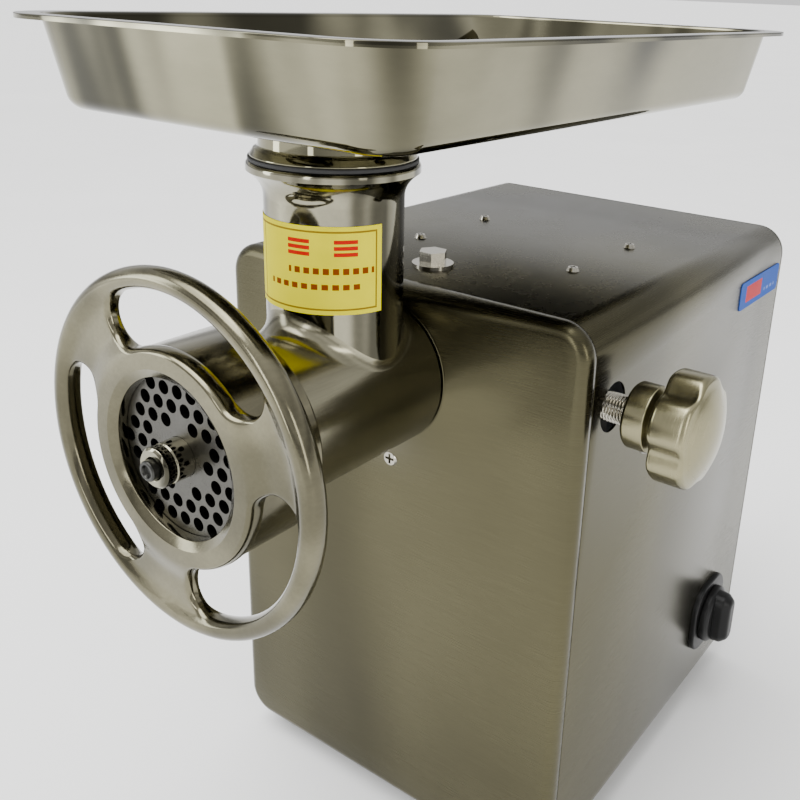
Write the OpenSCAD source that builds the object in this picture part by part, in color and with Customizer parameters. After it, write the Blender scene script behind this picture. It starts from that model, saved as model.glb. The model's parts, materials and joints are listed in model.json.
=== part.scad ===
// Electric meat grinder: stainless housing, gear motor, removable head with auger, plate and handwheel,
// lift-off feed tray. Millimetres, +Z up, front of the machine towards -Y.
// The origin is on the floor, below the middle of the housing.

/* [Housing] */
// Width of the housing
body_w = 292; // [250:1:420]
// Depth of the housing, front panel to rear panel
body_d = 336; // [310:1:460]
// Height of the housing above its lower edge
body_h = 408; // [400:1:520]
// Radius of the bends along the housing
corner_r = 22; // [12:1:30]
// Thickness of the housing sheet
sheet_t = 1.5; // [1:0.1:3]
// Depth of the folded rim of the front panel
panel_rim = 9; // [6:0.5:14]
// Open seam between the front panel and the wrap cover
seam_gap = 0.5; // [0.2:0.1:1.2]
// Height of the rubber feet, floor to housing
foot_h = 16; // [10:1:30]
// Radius of a rubber foot
foot_r = 19; // [12:0.5:24]
// Distance of a foot from the housing's sides
foot_inset = 38; // [30:1:60]
// Width of the flat lip that the wrap cover turns in below
bottom_lip = 38; // [34:1:60]
// Thickness of the base plate
base_t = 3; // [2:0.5:5]

/* [Head] */
// Drop of the auger axis below the top of the housing
head_drop = 55; // [52:0.5:64]
// Sideways place of the auger axis
head_x = 7; // [-10:0.5:15]
// Outer radius of the barrel
barrel_r = 47.5; // [46:0.5:52]
// Radius of the bore that the auger turns in
bore_r = 41.5; // [38:0.5:42]
// How far the collar stands in front of the housing
collar_len = 10; // [6:0.5:16]
// Open ring between the collar and the barrel
seam_ring = 1.5; // [0.4:0.1:2.5]
// Reach of the barrel's front end from the housing
barrel_len = 168; // [160:1:230]
// Radius of the barrel's threaded front end
mouth_r = 54.5; // [53:0.5:58]
// Radius of the barrel's rear shank
shank_r = 42; // [40:0.5:44]
// Length of the shank inside the housing
shank_len = 46; // [46:1:60]
// Distance of the feed neck from the housing
neck_reach = 55; // [50:1:80]
// Outer radius of the feed neck
neck_r = 39.5; // [36:0.5:42]
// Wall of the feed neck
neck_wall = 5; // [3:0.5:6]
// Height of the neck's flange above the auger axis
neck_h = 138.5; // [131:0.5:190]
// Radius of the neck's flange
neck_flange_r = 48.5; // [46:0.5:56]
// Height of the flared stretch below the flange
neck_flare_h = 14; // [8:0.5:24]

/* [Plate and knife] */
// Thickness of the grinding plate
plate_t = 8; // [6:0.5:10]
// Radius of the grinding plate
plate_r = 49; // [47:0.5:50]
// Radius of one hole in the plate
hole_r = 3.8; // [2:0.1:4]
// Distance between neighbouring holes in the plate
hole_pitch = 10.3; // [10.3:0.1:14]
// Radius of the blank middle of the plate
blank_r = 18.5; // [17:0.5:22]
// Width of the knife across opposite tips
knife_span = 90; // [80:1:94]
// Thickness of the knife
knife_t = 9; // [6:0.5:10]

/* [Auger] */
// Radius of the auger's core
auger_core_r = 19; // [16:0.5:24]
// Gap between the auger's flight and the bore
flight_gap = 0.8; // [0.5:0.1:1.5]
// Turns of the flight
flight_turns = 3; // [2:0.25:4]
// Radius of the rear journal
journal_r = 15; // [13:0.5:16]
// Side of the square drive tang
tang_w = 19; // [15:0.5:20]
// Radius of the pin that carries the knife and centres the plate
pin_r = 11; // [9:0.5:12]
// How far the pin stands in front of the barrel
pin_reach = 20; // [12:1:26]

/* [Handwheel nut] */
// Outer radius of the handwheel
wheel_r = 100; // [96:1:130]
// Width of the wheel's rim, seen from the front
rim_w = 11; // [9:0.5:16]
// Thickness of the rim
rim_t = 15; // [10:0.5:20]
// Outer radius of the wheel's hub
hub_r = 59; // [58:0.5:64]
// Length of the hub
hub_len = 52; // [40:1:60]
// Radius of the opening in front of the plate
lip_r = 43.5; // [38:0.5:45]
// Depth of the lip in front of the plate
lip_t = 6.5; // [4:0.5:10]
// Thickness of the wheel's web
web_t = 9; // [6:0.5:12]
// Part of a turn that one web opening covers, in degrees
opening_arc = 67; // [40:1:80]

/* [Tray] */
// Width of the tray over its rim
tray_w = 283; // [230:1:340]
// Length of the tray over its rim
tray_l = 472; // [400:1:570]
// Depth of the tray
tray_depth = 49; // [35:1:70]
// Gap between the neck's flange and the tray's floor
tray_gap = 22.5; // [18:0.5:80]
// Width of the flat rim
tray_rim_w = 13; // [6:0.5:16]
// How much the walls lean in, rim to floor
tray_lean = 11; // [8:1:24]
// Corner radius of the rim
tray_corner = 46; // [36:1:60]
// Wall thickness of the tray
tray_t = 1.5; // [1:0.1:2.5]
// Sideways place of the tray's middle
tray_x = 1.5; // [-10:0.5:20]
// Distance from the tray's front rim to the feed neck
tray_front = 112; // [95:1:140]
// Radius of the hole through the tray's spigot
throat_r = 31; // [24:0.5:32]
// Length of the spigot inside the neck
spigot_len = 38; // [25:1:60]

/* [Clamp screw] */
// Distance of the clamp screw behind the front panel
clamp_y = 38; // [30:1:38]
// Drop of the clamp screw below the auger axis
clamp_drop = 3; // [0:0.5:5]
// Radius of the clamp screw
clamp_r = 8; // [6:0.5:9]
// Length of screw that shows outside the housing
clamp_show = 14; // [12:0.5:20]
// Radius of the knob's collar
knob_collar_r = 20.5; // [16:0.5:24]
// Length of the knob's collar
knob_collar_l = 16; // [10:0.5:20]
// Radius of the knob over its lobes
knob_r = 34; // [28:0.5:40]
// Length of the lobed part of the knob
knob_l = 23; // [18:0.5:30]
// Number of lobes
knob_lobes = 5; // [4:1:8]
// Radius of the hole in the housing for the screw
clamp_hole_r = 16; // [12:0.5:20]

/* [Gears] */
// Module of the slow gear pair
slow_module = 2.25; // [2:0.05:2.25]
// Teeth of the output gear
output_teeth = 38; // [34:1:38]
// Teeth of the layshaft pinion
lay_pinion_teeth = 14; // [12:1:16]
// Module of the fast gear pair
fast_module = 2; // [1.5:0.1:2]
// Teeth of the layshaft gear
lay_gear_teeth = 36; // [30:1:36]
// Teeth of the motor pinion
motor_teeth = 12; // [11:1:16]
// Play between meshing teeth
backlash = 0.3; // [0.15:0.05:0.4]

/* [Motor] */
// Outer radius of the motor
motor_r = 62; // [58:0.5:66]
// Length of the motor
motor_len = 130; // [110:1:140]
// Outer radius of the rotor
rotor_r = 35; // [28:0.5:38]
// Air gap between rotor and stator
air_gap = 0.6; // [0.4:0.1:1]
// Length of the rotor and stator stack
stack_len = 70; // [50:1:74]

/* [Controls and fasteners] */
// Distance of the switch from the rear of the housing
switch_inset = 68; // [50:1:90]
// Height of the switch above the floor
switch_z = 91; // [70:1:130]
// Radius of the switch's knob
switch_r = 25; // [18:0.5:28]
// Height of the switch's knob
switch_knob_h = 20; // [14:0.5:26]
// Side of the switch's face plate
switch_plate_w = 62; // [56:1:70]
// Sideways distance between the screws on top
top_screw_dx = 130; // [126:1:150]
// Front to rear distance between the screws on top
top_screw_dy = 85; // [70:1:110]
// Place of the front pair of screws behind the front panel
top_screw_y = 103; // [102:1:110]
// Bore of the cord gland
gland_r = 4.5; // [3:0.25:6]

/* [Fits] */
// Radial clearance of a running shaft
run_gap = 0.04; // [0.02:0.01:0.08]
// Clearance between pieces that slide or seat
fit_gap = 0.15; // [0.1:0.05:0.3]

/* [Hidden] */
$fn = 64;

y_front = -body_d / 2;
body_top = foot_h + body_h;
head_z = body_top - head_drop;
neck_top = head_z + neck_h;
cavity_top = body_top - sheet_t;
neck_y = -neck_reach;
// stations behind the front panel, along the drive
socket_start = sheet_t + 1.5;
wall_start = shank_len + 4;
wall_t = 5;
bearing_w = 10;
bearing_start = wall_start - 3;
gear_start = wall_start + 9;
slow_face = 17;
fast_face = 8;
fast_start = gear_start + slow_face + 2;
cover_start = fast_start + fast_face + 3;
cover_t = 6;
motor_start = cover_start + cover_t;
motor_end = motor_start + motor_len;
stack_start = motor_start + 34;
bell_t = 10;
// gear train
slow_centres = slow_module * (output_teeth + lay_pinion_teeth) / 2;
fast_centres = fast_module * (lay_gear_teeth + motor_teeth) / 2;
lay_z = head_z - slow_centres;
motor_z = lay_z - fast_centres;
addendum = 0.8;
dedendum = 1.1;
pressure_angle = 25;
case_wall = 3.5;
tip_gap = 2;
case_screw_drop = 33.5;
function tip_r(m, teeth) = m * (teeth / 2 + addendum);
case_r = tip_r(slow_module, output_teeth) + tip_gap + case_wall;
lay_case_r = tip_r(fast_module, lay_gear_teeth) + tip_gap + case_wall;
pinion_case_r = 22;
output_shaft_r = 12.5;
output_tail_r = 10;
lay_shaft_r = 7.5;
motor_shaft_r = 8;
output_bearing_r = 23;
output_tail_bearing_r = 17.5;
lay_bearing_r = 12.5;
motor_bearing_r = 17;
lay_bearing_w = 7;
drive_flange_r = 24;
drive_flange_start = 20;
// head
mouth_len = 30;
plate_front = barrel_len + 2.5;
plate_back = plate_front - plate_t;
knife_back = plate_back - 0.3 - knife_t;
auger_front = knife_back - 0.3;
counterbore_r = plate_r + fit_gap * 2;
rear_wall_front = 20;
rear_wall_t = 12;
auger_back = rear_wall_front + 0.5;
shank_bore_r = shank_r - 8;
tang_start = 12;
hub_front = plate_front + fit_gap + lip_t;
wheel_mid = hub_front - 5;
pin_end = barrel_len + pin_reach;
neck_bore_r = neck_r - neck_wall;
spigot_r = neck_bore_r - fit_gap * 2;
tray_floor_z = neck_top + tray_gap;
tray_rim_z = tray_floor_z + tray_depth;
tray_mid_y = neck_y - tray_front + tray_l / 2;
// clamp screw
clamp_z = head_z - clamp_drop;
clamp_tip_x = head_x + shank_r + 0.4;
pad_t = 4;
boss_end_x = head_x + case_r + 12;
side_x = body_w / 2;
knob_start = side_x + clamp_show;
groove_l = 6;
dome_h = 7;
knob_turn = 48;
socket_gap = 0.05;
// fasteners
screw_r = 2.5;
screw_head_r = 4.6;
bolt_r = 6;
bolt_washer_r = 14;
top_bolt_x = head_x - 7;
top_bolt_y = 48;
front_screw_z = head_z - 67;
front_screw_r = 4;
front_screw_head_r = 6.5;
spot_gap = 0.4;
foot_screw_r = 3;
foot_head_r = 6;
foot_head_t = 3;
foot_head_z = min(9, foot_h - foot_head_t - 2);
hanger_t = 4;
hanger_mid_x = head_x + 4.5;
hanger_start = motor_start + 1;
hanger_end = top_screw_y + top_screw_dy + 14;
hanger_bolt_y = motor_start + 22;
hanger_bolt_r = 4;
gland_x = 82;
gland_z = foot_h + 46;
capacitor_x = -82;
capacitor_r = 20;
capacitor_z = foot_h + base_t + 4 + capacitor_r;
label_turn = -98;
wheel_openings = 3;
opening_tilt = 79;

steel = [0.62, 0.61, 0.57];
polished = [0.74, 0.73, 0.69];
dark_steel = [0.42, 0.42, 0.41];
iron = [0.36, 0.38, 0.38];
rubber_black = [0.07, 0.07, 0.07];

// a cylinder along Y between two distances behind the front panel
module ycyl(r, from, to) {
    translate([0, y_front + from, 0]) rotate([-90, 0, 0]) cylinder(r = r, h = to - from);
}
module ytube(r_out, r_in, from, to) {
    difference() {
        ycyl(r_out, from, to);
        ycyl(r_in, from - 1, to + 1);
    }
}
// a profile of radius and distance behind the front panel, turned about Y
module yturn(points) {
    translate([0, y_front, 0]) rotate([-90, 0, 0]) rotate_extrude() polygon(points);
}
module yplate(from, to) {
    translate([0, y_front + to, 0]) rotate([90, 0, 0]) linear_extrude(to - from) children();
}
module on_head() { translate([head_x, 0, head_z]) children(); }
module on_lay() { translate([head_x, 0, lay_z]) children(); }
module on_motor() { translate([head_x, 0, motor_z]) children(); }
module xcyl(r, from, to) {
    translate([from, 0, 0]) rotate([0, 90, 0]) cylinder(r = r, h = to - from);
}
module on_clamp() { translate([0, y_front + clamp_y, clamp_z]) children(); }
module rounded_rect(w, h, r) {
    square([w - 2 * r, h], center = true);
    square([w, h - 2 * r], center = true);
    for (sx = [-1, 1], sy = [-1, 1]) translate([sx * (w / 2 - r), sy * (h / 2 - r)]) circle(r = r);
}
// outline of the housing, seen from the front, shrunk by d
module body_outline(d) {
    translate([0, foot_h + body_h / 2]) rounded_rect(body_w - 2 * d, body_h - 2 * d, corner_r - d);
}
module round_hole_xz(x, z, r) { translate([x, z]) circle(r = r); }

// involute gear outline: half tooth angle at a radius, then one tooth's points
function involute(a) = tan(a) * 180 / PI - a;
function flank_angle(m, teeth, r) =
    let (pitch = m * teeth / 2, base = pitch * cos(pressure_angle))
    90 / teeth - backlash / (4 * pitch) * 180 / PI + involute(pressure_angle)
        - (r > base ? involute(acos(base / r)) : 0);
function polar(r, a) = [r * cos(a), r * sin(a)];
function tooth(m, teeth, a) =
    let (pitch = m * teeth / 2, root = pitch - dedendum * m, tip = tip_r(m, teeth),
        start = max(root, pitch * cos(pressure_angle)), steps = 4)
    concat([polar(root, a - flank_angle(m, teeth, start))],
        [for (i = [0:steps]) let (r = start + (tip - start) * i / steps)
            polar(r, a - flank_angle(m, teeth, r))],
        [for (i = [steps:-1:0]) let (r = start + (tip - start) * i / steps)
            polar(r, a + flank_angle(m, teeth, r))],
        [polar(root, a + flank_angle(m, teeth, start))]);
module gear_outline(m, teeth, first) {
    polygon([for (i = [0:teeth - 1]) each tooth(m, teeth, first + 360 * i / teeth)]);
}
module keyed_gear(m, teeth, first, shaft, from, to) {
    yplate(from, to) difference() {
        gear_outline(m, teeth, first);
        circle(r = shaft);
    }
}
module bearing(r_out, shaft, from, width) {
    groove = 0.9;
    mid = (r_out + shaft) / 2;
    difference() {
        ytube(r_out, shaft + run_gap, from, from + width);
        for (end = [from - 1, from + width - groove])
            ytube(mid + 2, mid - 2, end, end + 1 + groove);
    }
}
module cross_recess(r, depth) {
    for (a = [0, 90]) rotate([0, 0, a]) translate([-r * 0.55, -r * 0.13, -depth])
        cube([r * 1.1, r * 0.26, depth + 1]);
}
// a pan-head screw standing on z = 0 with its shank below
module pan_screw(r, head_r, length) {
    head_h = head_r * 0.55;
    difference() {
        union() {
            cylinder(r1 = head_r, r2 = head_r * 0.72, h = head_h);
            translate([0, 0, -length]) cylinder(r = r, h = length + 1);
        }
        translate([0, 0, head_h]) cross_recess(head_r, head_h * 0.6);
    }
}

module collar_flare() {
    flare_r = barrel_r + 38;
    steps = 6;
    intersection() {
        yturn(concat(
            [[barrel_r, 0.5], [barrel_r - 3, 0.5], [barrel_r - 3, -collar_len], [barrel_r, -collar_len]],
            [for (i = [0:steps]) let (u = i / steps)
                [barrel_r + (flare_r - barrel_r) * u, -(collar_len - 1) * pow(1 - u, 2.4)]],
            [[flare_r, 0.5]]));
        translate([-head_x, 0, -head_z]) yplate(-collar_len - 1, 1) body_outline(2);
    }
}
module front_panel() {
    bevel = 5;
    color(steel) difference() {
        union() {
            yplate(bevel, panel_rim) body_outline(0);
            yplate(bevel / 2, bevel) body_outline(0.8);
            yplate(0, bevel / 2) body_outline(3);
            on_head() collar_flare();
        }
        yplate(sheet_t, bevel) body_outline(3 + sheet_t);
        yplate(bevel - 1, panel_rim + 1) body_outline(sheet_t);
        on_head() ycyl(shank_r + 1, -collar_len - 1, sheet_t + 1);
        translate([head_x, 0, front_screw_z]) {
            ycyl(front_screw_r + 0.3, -1, sheet_t + 1);
            ycyl(front_screw_head_r + spot_gap, -collar_len, 0);
        }
    }
}
module wrap_cover() {
    from = panel_rim + seam_gap;
    to = body_d - sheet_t - seam_gap;
    color(steel) difference() {
        yplate(from, to) difference() {
            body_outline(0);
            body_outline(sheet_t);
            translate([-body_w / 2 + corner_r + bottom_lip, foot_h - 1])
                square([body_w - 2 * (corner_r + bottom_lip), corner_r]);
        }
        for (p = foot_places()) translate([p[0], p[1], foot_h - 1]) cylinder(r = foot_screw_r + 0.2, h = 4);
        for (p = top_screw_places()) translate([p[0], p[1], cavity_top - 1])
            cylinder(r = screw_r + 0.3, h = sheet_t + 2);
        translate([top_bolt_x, y_front + top_bolt_y, cavity_top - 1])
            cylinder(r = bolt_r + 0.5, h = sheet_t + 2);
        on_clamp() xcyl(clamp_hole_r, side_x - sheet_t - 1, side_x + 1);
        on_switch() xcyl(switch_r - 4, side_x - sheet_t - 1, side_x + 1);
    }
}
module rear_panel() {
    slot_w = 90;
    color(steel) yplate(body_d - sheet_t, body_d) difference() {
        body_outline(0);
        for (i = [0:7], sx = [-1, 1]) translate([sx * 62, foot_h + 170 + i * 18]) {
            square([slot_w - 5, 5], center = true);
            for (e = [-1, 1]) translate([e * (slot_w - 5) / 2, 0]) circle(r = 2.5);
        }
        round_hole_xz(gland_x, gland_z, 8);
        for (p = rear_screw_places()) round_hole_xz(p[0], p[1], 2.3);
    }
}
function rear_screw_places() = [for (sx = [-1, 1], z = [foot_h + 14, foot_h + body_h / 2, body_top - 14])
    [sx * (body_w / 2 - 14), z]];
module rear_screws() {
    color(polished) for (p = rear_screw_places()) translate([p[0], body_d / 2, p[1]])
        rotate([-90, 0, 0]) pan_screw(2, 4, 8);
}
module base_plate() {
    edge = corner_r + 4;
    color(dark_steel) difference() {
        translate([-body_w / 2 + edge, y_front + panel_rim + seam_gap, foot_h + sheet_t + fit_gap])
            cube([body_w - 2 * edge, body_d - panel_rim - 2 * seam_gap - 2 * sheet_t, base_t]);
        for (p = foot_places()) translate([p[0], p[1], foot_h]) cylinder(r = foot_screw_r + 0.2, h = 12);
    }
}
function foot_places() = [for (sx = [-1, 1], sy = [-1, 1])
    [sx * (body_w / 2 - foot_inset), sy * (body_d / 2 - foot_inset)]];
module rubber_feet() {
    color(rubber_black) for (p = foot_places()) translate(p) difference() {
        cylinder(r = foot_r, h = foot_h);
        translate([0, 0, foot_head_z]) cylinder(r = foot_head_r, h = foot_head_t);
        translate([0, 0, foot_head_z]) cylinder(r = foot_screw_r, h = foot_h);
    }
}
module foot_screws() {
    color(dark_steel) for (p = foot_places()) translate([p[0], p[1], foot_head_z]) {
        cylinder(r = foot_head_r, h = foot_head_t);
        cylinder(r = foot_screw_r, h = foot_h + 8 - foot_head_z);
    }
}
function top_screw_places() = [for (sx = [-1, 1], i = [0, 1])
    [hanger_mid_x + sx * top_screw_dx / 2, y_front + top_screw_y + i * top_screw_dy]];
module top_screws() {
    color(polished) for (p = top_screw_places()) translate([p[0], p[1], body_top])
        pan_screw(screw_r, screw_head_r, 10);
}
module top_bolt_washer() {
    color(polished) translate([top_bolt_x, y_front + top_bolt_y, body_top]) difference() {
        cylinder(r = bolt_washer_r, h = 2.4);
        translate([0, 0, -1]) cylinder(r = bolt_r + 0.5, h = 5);
    }
}
module top_bolt() {
    color(polished) translate([top_bolt_x, y_front + top_bolt_y, body_top + 2.4]) {
        cylinder(r = 9.8, h = 8, $fn = 6);
        translate([0, 0, -14]) cylinder(r = bolt_r, h = 15);
    }
}
module front_screw() {
    color(polished) translate([head_x, y_front, front_screw_z]) rotate([90, 0, 0])
        pan_screw(front_screw_r, front_screw_head_r, 30);
}

// outline of the gearbox round its three shafts, shrunk by d
module case_outline(d) {
    translate([head_x, head_z]) circle(r = case_r - d);
    translate([head_x, lay_z]) circle(r = lay_case_r - d);
    translate([head_x, motor_z]) circle(r = pinion_case_r - d);
    translate([head_x - lay_case_r + d, lay_z]) square([2 * (lay_case_r - d), slow_centres]);
    translate([head_x - pinion_case_r + d, motor_z]) square([2 * (pinion_case_r - d), fast_centres]);
}
module gearbox_case() {
    color(iron) difference() {
        union() {
            on_head() ycyl(case_r, socket_start, cover_start);
            yplate(wall_start, cover_start) case_outline(0);
            translate([head_x, 0, front_screw_z]) ycyl(9, socket_start, wall_start + 1);
            on_clamp() xcyl(14, head_x + case_r - 4, boss_end_x);
            on_lay() ycyl(lay_bearing_r + 4, wall_start - 1, wall_start + lay_bearing_w);
        }
        on_head() ycyl(shank_r + socket_gap, socket_start - 1, wall_start);
        difference() {
            yplate(wall_start + wall_t, cover_start + 1) case_outline(case_wall);
            on_head() ycyl(output_bearing_r + 5, wall_start, bearing_start + bearing_w);
            on_lay() ycyl(lay_bearing_r + 4, wall_start, wall_start + lay_bearing_w);
            for (p = case_screw_places()) translate([p[0], 0, p[1]]) ycyl(5, wall_start, cover_start);
        }
        on_head() ycyl(output_bearing_r, bearing_start, bearing_start + bearing_w + 1);
        on_lay() ycyl(lay_bearing_r, wall_start, wall_start + lay_bearing_w + 1);
        translate([head_x, 0, front_screw_z]) ycyl(front_screw_r + 0.1, socket_start - 1, 34);
        on_clamp() xcyl(clamp_r + run_gap, head_x, boss_end_x + 1);
        translate([top_bolt_x, y_front + top_bolt_y, head_z + shank_r + 1])
            cylinder(r = bolt_r + 0.1, h = case_r);
        for (p = case_screw_places()) translate([p[0], 0, p[1]]) ycyl(2.6, cover_start - 14, cover_start + 1);
    }
}
function case_screw_places() = [for (sx = [-1, 1])
    [head_x + sx * (lay_case_r - 5), head_z - case_screw_drop]];
module gearbox_cover() {
    color(iron) difference() {
        union() {
            yplate(cover_start, motor_start) case_outline(0);
            on_head() ycyl(output_tail_bearing_r + 4, cover_start - 3, motor_start);
            on_lay() ycyl(lay_bearing_r + 2, cover_start - 1, motor_start);
        }
        on_head() ycyl(output_tail_bearing_r, cover_start - 4, motor_start - 1.5);
        on_lay() ycyl(lay_bearing_r, cover_start - 2, motor_start - 1);
        on_motor() ycyl(motor_shaft_r + 1, cover_start - 1, motor_start + 1);
        for (p = case_screw_places()) translate([p[0], 0, p[1]]) ycyl(2.8, cover_start - 1, motor_start + 1);
    }
}
module gearbox_screws() {
    head_room = 4;
    color(dark_steel) for (p = case_screw_places())
        translate([p[0], y_front + motor_start, p[1]]) rotate([-90, 0, 0]) {
            cylinder(r = 4.2, h = head_room);
            translate([0, 0, -16]) cylinder(r = 2.5, h = 17);
        }
}
module output_bearings() {
    color(polished) on_head() {
        bearing(output_bearing_r, output_shaft_r, bearing_start, bearing_w);
        bearing(output_tail_bearing_r, output_tail_r, cover_start - 3, cover_t + 1.5);
    }
}
module layshaft_bearings() {
    color(polished) on_lay() {
        bearing(lay_bearing_r, lay_shaft_r, wall_start, lay_bearing_w);
        bearing(lay_bearing_r, lay_shaft_r, cover_start - 1, cover_t);
    }
}
module output_shaft() {
    color(polished) on_head() difference() {
        union() {
            ycyl(drive_flange_r, drive_flange_start, bearing_start - 1);
            ycyl(output_shaft_r, bearing_start - 2, gear_start + slow_face + 1);
            ycyl(output_tail_r, gear_start + slow_face, motor_start - 2);
        }
        yplate(drive_flange_start - 1, bearing_start - 3) square(tang_w + 2 * fit_gap, center = true);
        translate([output_shaft_r - 2.5, y_front + gear_start, -2.5]) cube([4, slow_face + 2, 5]);
    }
}
module output_gear() {
    color(dark_steel) on_head() yplate(gear_start, gear_start + slow_face) difference() {
        gear_outline(slow_module, output_teeth, -90);
        circle(r = output_shaft_r);
        translate([0, -2.5]) square([output_shaft_r + 2.5, 5]);
        for (a = [30:60:330]) rotate(a) translate([27, 0]) circle(r = 6);
    }
}
module shaft_key() {
    color(polished) on_head() translate([output_shaft_r - 2.5, y_front + gear_start, -2.5])
        cube([5, slow_face, 5]);
}
module layshaft() {
    color(polished) on_lay() ycyl(lay_shaft_r, wall_start + 0.5, motor_start - 1.5);
}
module layshaft_pinion() {
    color(dark_steel) on_lay()
        keyed_gear(slow_module, lay_pinion_teeth, 90 + 180 / lay_pinion_teeth, lay_shaft_r,
            gear_start, gear_start + slow_face);
}
module layshaft_gear() {
    color(dark_steel) on_lay() yplate(fast_start, fast_start + fast_face) difference() {
        gear_outline(fast_module, lay_gear_teeth, -90);
        circle(r = lay_shaft_r);
        for (a = [0:60:300]) rotate(a) translate([21, 0]) circle(r = 6);
    }
}
module motor_pinion() {
    color(dark_steel) on_motor()
        keyed_gear(fast_module, motor_teeth, 90 + 180 / motor_teeth, motor_shaft_r,
            fast_start - 1, fast_start + fast_face + 1);
}
module motor_shaft() {
    color(polished) on_motor() ycyl(motor_shaft_r, fast_start - 1, motor_end + bell_t + 18);
}
module rotor() {
    color(dark_steel) on_motor() {
        ytube(rotor_r, motor_shaft_r, stack_start, stack_start + stack_len);
        for (end = [stack_start - 8, stack_start + stack_len]) ytube(rotor_r - 2, rotor_r - 9, end, end + 8);
    }
}
module stator() {
    color([0.45, 0.44, 0.42]) on_motor() {
        ytube(motor_r - 3, rotor_r + air_gap, stack_start, stack_start + stack_len);
        for (end = [stack_start - 14, stack_start + stack_len]) color([0.6, 0.32, 0.14])
            ytube(motor_r - 8, rotor_r + 5, end, end + 14);
    }
}
module motor_case() {
    front_t = 8;
    color(iron) on_motor() difference() {
        ycyl(motor_r, motor_start, motor_end);
        ycyl(motor_r - 3, motor_start + front_t + 2, motor_end + 1);
        ycyl(motor_bearing_r, motor_start + 2, motor_start + front_t + 3);
        ycyl(motor_shaft_r + 1, motor_start - 1, motor_start + 3);
        translate([0, y_front + hanger_bolt_y, 0]) xcyl(hanger_bolt_r + 0.05, -motor_r - 1, motor_r + 1);
    }
}
module motor_end_bell() {
    color(iron) on_motor() difference() {
        union() {
            ycyl(motor_r, motor_end, motor_end + bell_t);
            ytube(motor_r - 3 - fit_gap, motor_r - 6, motor_end - 6, motor_end + 1);
        }
        ycyl(motor_bearing_r, motor_end - 1, motor_end + bell_t - 2);
        ycyl(motor_shaft_r + 1, motor_end - 1, motor_end + bell_t + 1);
        for (a = [0:45:315]) rotate([0, a, 0]) translate([39, 0, 0])
            ycyl(6, motor_end - 1, motor_end + bell_t + 1);
    }
}
module motor_bearings() {
    color(polished) on_motor() {
        bearing(motor_bearing_r, motor_shaft_r, motor_start + 2, 8);
        bearing(motor_bearing_r, motor_shaft_r, motor_end, bell_t - 2);
    }
}
module cooling_fan() {
    fan_start = motor_end + bell_t + 3;
    fan_w = 12;
    color(rubber_black) on_motor() {
        ytube(16, motor_shaft_r, fan_start, fan_start + fan_w);
        yplate(fan_start, fan_start + fan_w) for (a = [0:45:315]) rotate(a) translate([15, -1.5])
            square([35, 3]);
        ytube(52, 49, fan_start, fan_start + fan_w);
    }
}
module motor_hanger() {
    leg_t = 4;
    leg_drop = 30;
    leg_x = motor_r + fit_gap;
    plate_half = top_screw_dx / 2 + 9;
    color(dark_steel) difference() {
        union() {
            translate([hanger_mid_x - plate_half, y_front + hanger_start, cavity_top - fit_gap - hanger_t])
                cube([2 * plate_half, hanger_end - hanger_start, hanger_t]);
            for (x = [leg_x, -leg_x - leg_t])
                translate([head_x + x, y_front + hanger_start + 6, motor_z - leg_drop])
                    cube([leg_t, hanger_end - hanger_start - 22,
                        cavity_top - fit_gap - motor_z + leg_drop - hanger_t / 2]);
        }
        for (p = top_screw_places()) translate([p[0], p[1], cavity_top - 12])
            cylinder(r = screw_r + 0.05, h = 14);
        on_motor() translate([0, y_front + hanger_bolt_y, 0])
            xcyl(hanger_bolt_r + 0.05, -motor_r - 12, motor_r + 12);
    }
}
module hanger_bolts() {
    leg_out = motor_r + fit_gap + 4;
    color(dark_steel) on_motor() translate([0, y_front + hanger_bolt_y, 0]) for (side = [0, 180])
        rotate([0, side, 0]) {
            xcyl(hanger_bolt_r, motor_r - 2.8, leg_out + 1);
            xcyl(7, leg_out, leg_out + 5);
        }
}
module capacitor() {
    color([0.75, 0.75, 0.78]) translate([capacitor_x, 0, capacitor_z]) {
        ycyl(capacitor_r, 170, 250);
        for (sx = [-1, 1]) translate([sx * 7, 0, 0]) ycyl(2, 160, 171);
    }
}
module capacitor_clip() {
    clip_top = capacitor_z;
    clip_bottom = foot_h + sheet_t + fit_gap + base_t;
    color(dark_steel) difference() {
        translate([capacitor_x - 26, y_front + 200, clip_bottom]) cube([52, 22, clip_top - clip_bottom]);
        translate([capacitor_x, 0, capacitor_z]) ycyl(capacitor_r + 0.05, 195, 225);
    }
}
module on_switch() { translate([0, body_d / 2 - switch_inset, switch_z]) children(); }
module switch_plate() {
    plate_h = 4;
    color(rubber_black) on_switch() difference() {
        union() {
            translate([side_x, 0, 0]) rotate([90, 0, 90]) linear_extrude(plate_h)
                rounded_rect(switch_plate_w, switch_plate_w, 10);
            xcyl(switch_r - 5, side_x - 34, side_x + 1);
        }
        xcyl(5 + run_gap, side_x - 20, side_x + plate_h + 1);
    }
}
module switch_knob() {
    base = side_x + 4.4;
    color(rubber_black) on_switch() {
        xcyl(5, side_x - 16, base + 1);
        xcyl(switch_r, base, base + 7);
        translate([base + 6, -6, -switch_r + 2]) cube([switch_knob_h - 6, 12, 2 * switch_r - 4]);
    }
}
module cord_gland() {
    color(rubber_black) translate([gland_x, 0, gland_z]) difference() {
        union() {
            ycyl(7.8, body_d - 12, body_d + 3);
            ycyl(12, body_d, body_d + 5);
            ycyl(12, body_d - 8, body_d - sheet_t - 0.1);
            yturn([[0, body_d + 5], [10.5, body_d + 5], [8, body_d + 18], [0, body_d + 18]]);
        }
        ycyl(gland_r, body_d - 13, body_d + 19);
    }
}
module side_label() {
    color([0.16, 0.3, 0.62]) translate([side_x, body_d / 2 - 92, body_top - 49]) cube([0.5, 86, 22]);
}

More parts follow.
